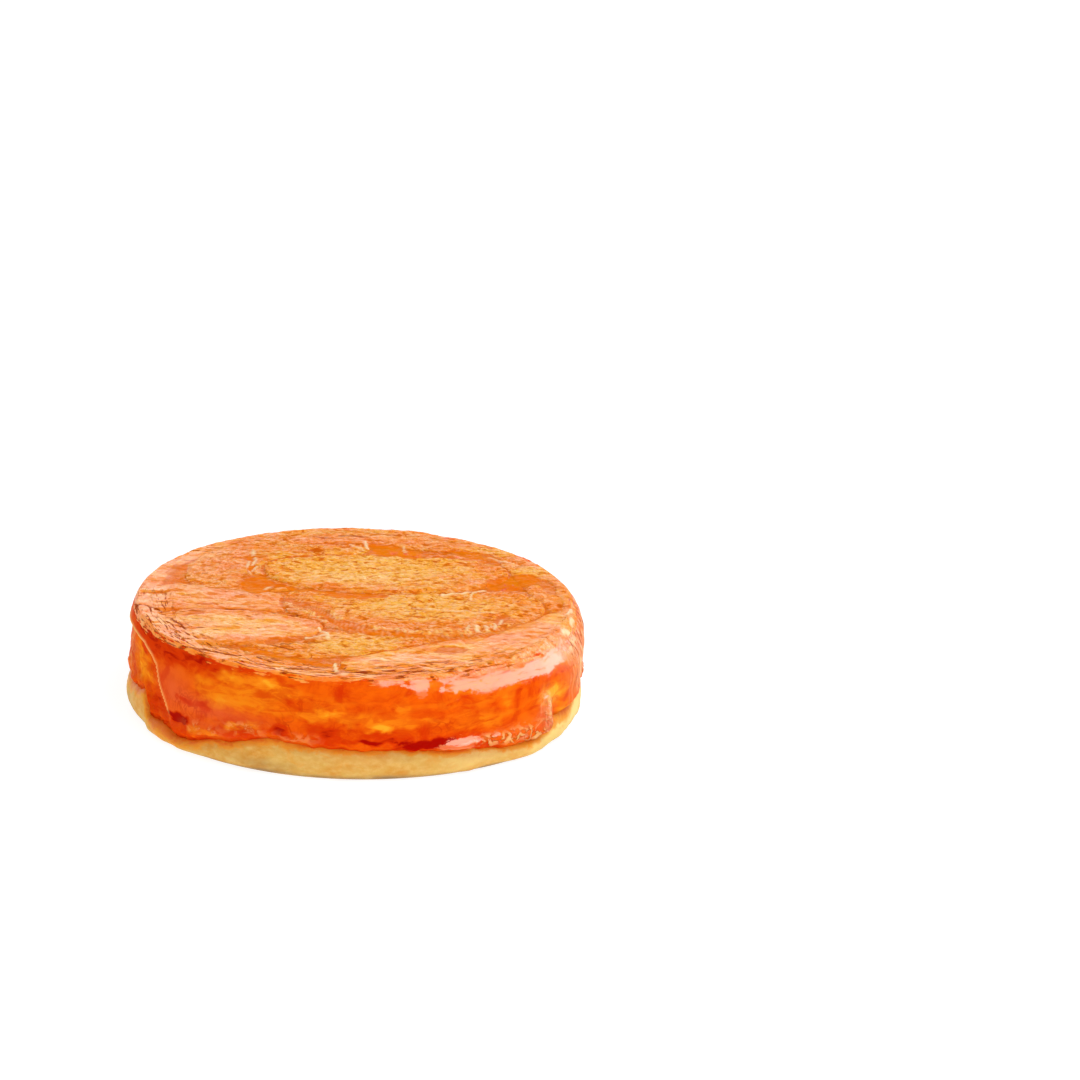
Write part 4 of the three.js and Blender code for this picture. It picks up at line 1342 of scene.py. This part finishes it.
def spine_stations(spec, angle):
    """Places along a slice's spine: the middle, the unit normal to the left, and the two half
    widths. The spine is a parabola of height bow over the chord between the tips. The widths are
    those of the table, made ragged by noise, times the sine of the angle to a power that blunts the
    tips."""
    start, end = (np.array(tip, dtype=float) for tip in spec["tips"])
    along = end - start
    span = np.hypot(*along)
    along = along / span
    across = np.array([-along[1], along[0]])
    way = (1 - np.cos(angle)) / 2
    full = np.sin(angle) ** BLUNTNESS
    bowed = 4 * way * (1 - way) * spec["bow"]
    middle = start + way[:, None] * span * along + bowed[:, None] * across
    slope = 4 * (1 - 2 * way) * spec["bow"] / span
    normal = across - slope[:, None] * along
    normal /= np.hypot(*normal.T)[:, None]
    run = np.stack([way * span, np.zeros_like(way), np.zeros_like(way)], axis=-1)
    seed = 100 + 7 * order_of(spec)
    left, right = (
        full * (spec[side] + 0.5 * noise(run, 6, first) + 0.2 * noise(run, 1.7, first + 1))
        for side, first in (("left", seed), ("right", seed + 2))
    )
    return middle, normal, left, right


def outline_of(spec):
    """A slice's outline seen from above, as points all round."""
    angle = np.linspace(TIP_ANGLE, math.pi - TIP_ANGLE, 90)
    middle, normal, left, right = spine_stations(spec, angle)
    one_side = middle + normal * left[:, None]
    other_side = middle - normal * right[:, None]
    return np.concatenate([one_side, other_side[::-1]])


def distance_raster(outline):
    """Signed distance to an outline on a square raster, negative inside. The distance is to the
    nearest stretch of the outline, and a point is inside where a ray crosses the outline an odd
    number of times."""
    steps = int(2 * RASTER_HALF / RASTER_STEP) + 1
    axis = np.linspace(-RASTER_HALF, RASTER_HALF, steps)
    x, y = np.meshgrid(axis, axis, indexing="ij")
    best = np.full(x.shape, np.inf)
    inside = np.zeros(x.shape, dtype=bool)
    for (ax, ay), (bx, by) in zip(outline, np.roll(outline, -1, axis=0)):
        dx, dy = bx - ax, by - ay
        way = np.clip(((x - ax) * dx + (y - ay) * dy) / max(dx * dx + dy * dy, 1e-9), 0, 1)
        best = np.minimum(best, (x - ax - way * dx) ** 2 + (y - ay - way * dy) ** 2)
        if ay != by:
            crossing = (ay > y) != (by > y)
            inside ^= crossing & (x < ax + (y - ay) * dx / dy)
    return np.where(inside, -1, 1) * np.sqrt(best)


def read_raster(raster, points):
    """A raster's value at points, blended between its four nearest nodes."""
    place = (points[..., :2] - FILLING_MIDDLE[:2] + RASTER_HALF) / RASTER_STEP
    place = np.clip(place, 0, raster.shape[0] - 1.001)
    cell = place.astype(int)
    part = place - cell
    i, j = cell[..., 0], cell[..., 1]
    u, v = part[..., 0], part[..., 1]
    low = raster[i, j] * (1 - v) + raster[i, j + 1] * v
    high = raster[i + 1, j] * (1 - v) + raster[i + 1, j + 1] * v
    return low * (1 - u) + high * u


def top_sink(points, above, dip):
    """How deep a surface lies under the slices above it, and its distance to the nearest of them.
    Each slice above is a pair of its distance raster and its groove's width. The surface is hollow
    beside a slice's edge, other than near the rim, and dives by dip below the slice inside the
    edge."""
    sink = np.zeros(points.shape[:-1])
    nearest = np.full(points.shape[:-1], 99.0)
    inside = ease(reach_of(points), 46.5, 43.5)
    for raster, groove in above:
        gap = read_raster(raster, points)
        beside = np.clip(gap, 0, None) / (0.45 + 0.6 * groove)
        hollow = 0.3 * groove * np.exp(-(beside**2))
        sink = sink + dip * ease(gap, -0.55, -1.7) + hollow * inside
        nearest = np.minimum(nearest, gap / max(groove, 0.05))
    return sink, nearest


def free_range(spec, above, farthest):
    """The stretch of each cross-section that isn't deeper than SLICE_TUCK under the slices above
    and no farther out than farthest, as the share from the right edge (-1) to the left edge (1),
    for a fine row of stations. Stations that are wholly covered are left out at both ends."""
    angle = np.linspace(TIP_ANGLE, math.pi - TIP_ANGLE, 240)
    middle, normal, left, right = spine_stations(spec, angle)
    share = np.linspace(-1, 1, 161)
    reach = np.where(share[None] > 0, share[None] * left[:, None], share[None] * right[:, None])
    places = middle[:, None] + normal[:, None] * reach[..., None] + FILLING_MIDDLE[:2]
    gap = np.full(places.shape[:-1], 99.0)
    for raster, _ in above:
        gap = np.minimum(gap, read_raster(raster, places))
    gap = np.minimum(gap, farthest - reach_of(places) - SLICE_TUCK)
    blocked = gap < -SLICE_TUCK
    seed = np.argmax(np.where(blocked, -99, gap), axis=1)[:, None]
    column = np.arange(len(share))[None]
    low = np.where(blocked & (column < seed), column, -1).max(axis=1) + 1
    high = np.where(blocked & (column > seed), column, len(share)).min(axis=1) - 1
    useful = (high - low) * (left + right) / len(share) > 0.8
    useful &= ~blocked[np.arange(len(angle)), seed[:, 0]]
    first, last = np.flatnonzero(useful)[[0, -1]]
    keep = slice(first, last + 1)
    return angle[keep], share[low[keep]], share[high[keep]]


def slice_surface(spec, rasters, sizes):
    """One slice: rings across its spine, each along the back from the right edge to the left one
    and home along the underside. The back is crowned, rounds down at the edges on a parabola,
    carries the top's relief, dives under the slices above and sinks into the glaze at the rim. The
    underside is flat in the middle and rises towards the edges, as a lens does."""
    above = rasters[: order_of(spec)]
    angle_knots, low_knots, high_knots = free_range(spec, above, sizes.slice_reach / MM)
    span = np.hypot(*(np.array(spec["tips"][1]) - np.array(spec["tips"][0])))
    free_span = span * (angle_knots[-1] - angle_knots[0]) / math.pi
    stations = int(np.clip(free_span / SLICE_STEP, 40, 280))
    angle = np.linspace(angle_knots[0], angle_knots[-1], stations)
    low = np.interp(angle, angle_knots, low_knots)
    high = np.interp(angle, angle_knots, high_knots)
    middle, normal, left, right = spine_stations(spec, angle)
    across_count = int(np.clip((spec["left"] + spec["right"]) / SLICE_STEP, 30, 140))
    swing = np.cos(math.pi * np.linspace(0, 1, across_count))
    way = 0.5 - 0.5 * swing * (0.35 + 0.65 * np.abs(swing) ** 0.5)
    way = (way - way[0]) / (way[-1] - way[0])
    share = low[:, None] + (high - low)[:, None] * way
    reach = np.where(share > 0, share * left[:, None], share * right[:, None])
    plan = middle[:, None] + normal[:, None] * reach[..., None] + FILLING_MIDDLE[:2]
    half = np.where(share > 0, left[:, None], right[:, None])
    inset = (1 - np.abs(share)) * half
    place = np.concatenate([plan, np.zeros(plan.shape[:-1] + (1,))], axis=-1)
    distance = reach_of(plan)
    rounded = np.clip(1 - inset / ROUNDING, 0, 1) ** 2
    crown = sizes.slice_top / MM + spec["lift"]
    relief, looks = top_looks(place, spec["crinkle"])
    sink, nearest = top_sink(place, above, SLICE_DIP)
    drowned = frayed(distance, place)
    over_rim = (0.25 + spec["lift"]) * ease(drowned, 41, 45) + 1.6 * ease(drowned, 45.6, 47.2)
    back = crown - spec["edge"] * rounded + relief - sink - over_rim
    lens = ease(inset, 1.5, 5.0)
    underside = np.minimum(UNDERSIDE - LENS * lens, back - THINNEST)
    column = np.round(np.linspace(1, 0, 9)[1:-1] * (across_count - 1)).astype(int)
    tucked = np.concatenate([plan[:, column], underside[:, column, None]], axis=-1)
    top = np.concatenate([plan, back[..., None]], axis=-1)
    rings = np.concatenate([top, tucked], axis=1)[:, ::-1]
    seam = 0.8 * ease(nearest, 0.9, 0.55) * ease(distance, 45, 40)
    looks["pool"] = np.maximum(looks["pool"], seam)
    looks["streaky"] = looks["streaky"] * (1 - 0.6 * seam)
    looks["veil"] = np.clip(looks["veil"] * (1 - 0.85 * seam), 0, 1)
    return rings, {
        key: np.concatenate([part, part[:, column]], axis=1)[:, ::-1] for key, part in looks.items()
    }


# ---- Sizes and colours that a user would change --------------------------------------------------


def length(name, description, default):
    """A length property, its default in millimetres."""
    return bpy.props.FloatProperty(
        name=name,
        description=description,
        default=default * MM,
        min=0.0,
        precision=4,
        unit="LENGTH",
        subtype="DISTANCE",
    )


def colour(name, description, default):
    """A colour property, its default as linear red, green and blue."""
    return bpy.props.FloatVectorProperty(
        name=name,
        description=description,
        default=default,
        min=0.0,
        max=1.0,
        size=3,
        subtype="COLOR",
    )


class TartSizes(bpy.types.PropertyGroup):
    crust_radius: length("Crust radius", "Radius of the dough at its widest", 50.0)
    foot_lift: length("Foot lift", "How far the dough's foot lifts off in places", 0.5)
    filling_radius: length("Filling radius", "Radius of the filling at its widest", 51.1)
    caramel_level: length("Caramel level", "Height of the set caramel between the slices", 23.55)
    slice_top: length("Slice top", "Height of a slice's crown", 23.95)
    slice_reach: length("Slice reach", "How far from the middle the slices end", 47.0)


class TartColours(bpy.types.PropertyGroup):
    dough: colour("Dough", "Baked dough", (0.73, 0.41, 0.085))
    # Pale dough, also a painted highlight on the lit side.
    dough_pale: colour("Pale dough", "Dry flour and high grain", (0.90, 0.67, 0.23))
    dough_golden: colour("Golden dough", "Dough on its lumps", (0.70, 0.31, 0.04))
    # Toasted dough, also used as painted shade along the foot.
    dough_brown: colour("Brown dough", "Toasted foot of the dough", (0.34, 0.19, 0.06))
    soaked_dough: colour("Soaked dough", "Dough with caramel in it", (0.82, 0.31, 0.02))
    caramel: colour("Caramel", "Clear orange caramel", (0.86, 0.125, 0.002))
    caramel_golden: colour("Golden caramel", "Caramel over pale fruit", (0.92, 0.24, 0.006))
    fruit: colour("Fruit", "Fruit close behind the skin", (0.96, 0.40, 0.02))
    # Paler coral painted under the rim's highlight.
    highlight_caramel: colour("Wet caramel", "Caramel under the wettest places", (0.84, 0.19, 0.034))
    caramel_deep: colour("Deep caramel", "Thick caramel", (0.68, 0.038, 0.001))
    caramel_swirl: colour("Swirls", "Red swirls in the caramel", (0.60, 0.032, 0.001))
    caramel_red: colour("Red caramel", "Dark red jam", (0.40, 0.003, 0.0005))
    glaze: colour("Glaze", "Glaze over a slice", (0.93, 0.285, 0.02))
    glaze_deep: colour("Deep glaze", "Thicker glaze over a slice", (0.90, 0.212, 0.013))
    # Darker glaze, used as painted shade in valleys, creases and wrinkles, for dark dashes and for
    # the pools' edges.
    dark_glaze_and_shade: colour("Glaze in wrinkles", "Glaze between the wrinkles", (0.62, 0.105, 0.002))
    pool: colour("Pool", "Clear caramel in the hollows", (0.84, 0.185, 0.003))
    pool_deep: colour("Deep pool", "Clear caramel where it is thickest", (0.80, 0.15, 0.002))
    apple_golden: colour("Golden apple", "Cooked fruit under the glaze", (0.94, 0.385, 0.027))
    apple_pale: colour("Pale apple", "The palest fruit in a slice", (0.95, 0.44, 0.042))
    # Coral skin colour, partly a painted pink sheen.
    sheen_haze: colour("Haze", "Coral skin over the caramel", (0.79, 0.105, 0.024))
    stain: colour("Stain", "Dough that caramel ran over", (0.74, 0.14, 0.008))
    # Painted highlight on the crests of the curled jam.
    curl_crest_highlight: colour("Curl crests", "Crests of the curled jam", (0.91, 0.40, 0.12))
    skin_edge: colour("Skin edge", "The thin torn edge of the skin", (0.97, 0.48, 0.14))
    # A pale colour for fibres and dried glaze, also used for painted glints, sheen and highlights.
    pale_and_glint: colour("Ridge", "Pale fibres and dried glaze", (0.98, 0.66, 0.36))
    crack: colour("Crack", "Fine dark cracks in the glaze", (0.32, 0.035, 0.003))


# ---- Operators -----------------------------------------------------------------------------------


def place_piece(piece, slot, *nodes):
    """Lets a piece ride on the tart and stand for its nodes, whose solids it hides. Its slot is not
    used.
    """
    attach(piece, BODY)
    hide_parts(*nodes)


class TART_OT_crust(bpy.types.Operator):
    """Build the disc of baked dough"""

    bl_idname = "tart.crust"
    bl_label = "Crust"

    def execute(self, context):
        points, fields = crust_surface(context.scene.tart_sizes)
        piece = make_piece("crust", points, fields, baked_dough(context.scene.tart_colours))
        place_piece(piece, "pastry", "pastry_base")
        return {"FINISHED"}


class TART_OT_filling(bpy.types.Operator):
    """Build the moulded block of caramel and fruit"""

    bl_idname = "tart.filling"
    bl_label = "Caramel filling"

    def execute(self, context):
        slices = [(raster, FILLING_GROOVE) for raster, _ in slice_rasters()]
        points, fields = caramel_surface(context.scene.tart_sizes, slices)
        piece = make_piece("caramel", points, fields, caramel_jelly(context.scene.tart_colours))
        place_piece(piece, "caramel", "caramel_filling")
        return {"FINISHED"}


def slice_rasters():
    """The distance raster of every slice with the width of its groove, uppermost first."""
    return [(distance_raster(outline_of(spec)), spec["groove"]) for spec in SLICES]


class TART_OT_slices(bpy.types.Operator):
    """Build the glazed slices of fruit in the top"""

    bl_idname = "tart.slices"
    bl_label = "Glazed slices"

    def execute(self, context):
        rasters = slice_rasters()
        material = glazed_apple(context.scene.tart_colours)
        for spec in SLICES:
            points, fields = slice_surface(spec, rasters, context.scene.tart_sizes)
            piece = make_piece("slice_" + spec["name"], points, fields, material)
            place_piece(piece, "apple", "apple_slice_" + spec["name"])
        return {"FINISHED"}


# The camera: focal length in mm, the elevation and roll in degrees, where the middle of the tart's
# top lies in the picture, in its own 1080 pixels, and how many of those pixels a millimetre takes
# there.
PICTURE = 1080
FOCAL = 250.0
SENSOR = 36.0
ELEVATION = 20.2
ROLL = 1.35
TARGET_PIXEL = (357.7, 604.5)
TARGET_HEIGHT = 22.8
PIXELS_PER_MM = 4.508


def add_camera():
    """A long lens that looks at the tart from the front. It turns so that the target falls on its
    pixel, without any shift."""
    pixels_per_focal = PICTURE * FOCAL / SENSOR
    distance = pixels_per_focal / PIXELS_PER_MM
    lean, roll = math.radians(ELEVATION), math.radians(ROLL)
    target = Vector((FILLING_MIDDLE[0], FILLING_MIDDLE[1], TARGET_HEIGHT))
    back = Vector((0, -math.cos(lean), math.sin(lean)))
    level_right, level_up = Vector((1, 0, 0)), Vector((0, math.sin(lean), math.cos(lean)))
    right = math.cos(roll) * level_right + math.sin(roll) * level_up
    up = -math.sin(roll) * level_right + math.cos(roll) * level_up
    facing = Matrix((right, up, back)).transposed().to_quaternion()
    aside = (TARGET_PIXEL[0] - PICTURE / 2) / pixels_per_focal
    below = (TARGET_PIXEL[1] - PICTURE / 2) / pixels_per_focal
    turn = Vector((aside, -below, -1)).rotation_difference(Vector((0, 0, -1)))
    data = bpy.data.cameras.new("camera")
    data.lens, data.sensor_width = FOCAL, SENSOR
    camera = bpy.data.objects.new("camera", data)
    camera.rotation_mode = "QUATERNION"
    camera.rotation_quaternion = facing @ turn
    camera.location = (target + back * distance) * MM
    bpy.context.scene.collection.objects.link(camera)
    bpy.context.scene.camera = camera


def direction(azimuth, elevation):
    """The unit vector towards an azimuth and an elevation, in degrees."""
    angle, lean = math.radians(azimuth), math.radians(elevation)
    level = math.cos(lean)
    return Vector((math.sin(angle) * level, -math.cos(angle) * level, math.sin(lean)))


def add_light(name, ends, thickness, distance, radiance, lit=True):
    """A rectangular softbox that reaches from one direction to another, as seen from the tart.
    thickness is its short side in degrees. Where lit is false, it is a card that only shows in
    reflections. Returns the light."""
    first, second = (direction(*end) for end in ends)
    facing = (first + second).normalized()
    along = (second - first).normalized()
    up = facing.cross(along)
    data = bpy.data.lights.new(name, "AREA")
    data.shape = "RECTANGLE"
    data.size = (second - first).length * distance / (first.dot(facing))
    data.size_y = 2 * distance * math.tan(math.radians(thickness / 2))
    data.energy = radiance * math.pi * data.size * data.size_y
    light = bpy.data.objects.new(name, data)
    light.location = facing * distance + Vector((0, 0, 0.015))
    light.rotation_mode = "QUATERNION"
    light.rotation_quaternion = Matrix((along, up, facing)).transposed().to_quaternion()
    light.visible_diffuse = lit
    bpy.context.scene.collection.objects.link(light)
    return light


def shine_only_on(light, piece):
    """Limits a light to one piece: a collection of its receivers holds the piece alone."""
    receivers = bpy.data.collections.new(light.name + "_receivers")
    receivers.objects.link(piece)
    light.light_linking.receiver_collection = receivers


def add_world():
    """A pale room: bright low down, darker overhead, by the height of the direction."""
    world = bpy.data.worlds.new("room")
    world.use_nodes = True
    tree = world.node_tree
    background = tree.nodes["Background"]
    coordinates = tree.nodes.new("ShaderNodeTexCoord")
    split = tree.nodes.new("ShaderNodeSeparateXYZ")
    ramp = tree.nodes.new("ShaderNodeValToRGB")
    stops = ((0.0, 0.95), (0.4, 0.9), (0.65, 0.42), (1.0, 0.25))
    while len(ramp.color_ramp.elements) < len(stops):
        ramp.color_ramp.elements.new(0.5)
    for element, (place, grey) in zip(ramp.color_ramp.elements, stops):
        element.position = place
        element.color = (grey, grey, grey, 1)
    tree.links.new(coordinates.outputs["Generated"], split.inputs[0])
    tree.links.new(split.outputs["Z"], ramp.inputs["Fac"])
    tree.links.new(ramp.outputs["Color"], background.inputs["Color"])
    background.inputs["Strength"].default_value = 1.15
    bpy.context.scene.world = world


class TART_OT_stage(bpy.types.Operator):
    """Build the pale floor, the room, the softboxes and the camera"""

    bl_idname = "tart.stage"
    bl_label = "Stage, lights and camera"

    def execute(self, context):
        half = 4.0
        mesh = bpy.data.meshes.new("floor")
        corners = [(-half, -half, 0), (half, -half, 0), (half, half, 0), (-half, half, 0)]
        mesh.from_pydata(corners, [], [(0, 1, 2, 3)])
        glowing = Finish(
            "glowing_paper",
            roughness=0.9,
            specular_ior_level=0.0,
            base_color=(0.3, 0.3, 0.3, 1.0),
            emission_color=(1.0, 1.0, 1.0, 1.0),
            emission_strength=0.85,
        )
        mesh.materials.append(glowing.material)
        floor = bpy.data.objects.new("floor", mesh)
        bpy.context.scene.collection.objects.link(floor)
        add_world()
        add_light("key", ((20, 58), (95, 58)), 30, 1.2, 5.0)
        rim_card = add_light("rim_card", ((18, 38), (127, 14)), 60, 1.2, 6.8, lit=False)
        shine_only_on(rim_card, bpy.data.objects["caramel"])
        add_light("back_card", ((150, 18), (210, 18)), 18, 2.2, 2.2, lit=False)
        add_camera()
        context.scene.view_settings.view_transform = "Standard"
        return {"FINISHED"}


# ---- The add-on ----------------------------------------------------------------------------------

STEPS = (TART_OT_crust, TART_OT_filling, TART_OT_slices, TART_OT_stage)


class TART_PT_panel(bpy.types.Panel):
    """The tart's sizes, colours and building steps"""

    bl_idname = "TART_PT_panel"
    bl_label = "Tarte Tatin"
    bl_space_type = "VIEW_3D"
    bl_region_type = "UI"
    bl_category = "Tart"

    def draw(self, context):
        for group in (context.scene.tart_sizes, context.scene.tart_colours):
            box = self.layout.box()
            for key in group.__annotations__:
                box.prop(group, key)
        for step in STEPS:
            self.layout.operator(step.bl_idname)


CLASSES = (TartSizes, TartColours, *STEPS, TART_PT_panel)


def register():
    for cls in CLASSES:
        bpy.utils.register_class(cls)
    bpy.types.Scene.tart_sizes = bpy.props.PointerProperty(type=TartSizes)
    bpy.types.Scene.tart_colours = bpy.props.PointerProperty(type=TartColours)


def unregister():
    del bpy.types.Scene.tart_colours
    del bpy.types.Scene.tart_sizes
    for cls in reversed(CLASSES):
        bpy.utils.unregister_class(cls)


def main():
    """Registers the add-on and builds everything."""
    register()
    bpy.ops.tart.crust()
    bpy.ops.tart.filling()
    bpy.ops.tart.slices()
    bpy.ops.tart.stage()


if __name__ == "__main__":
    main()
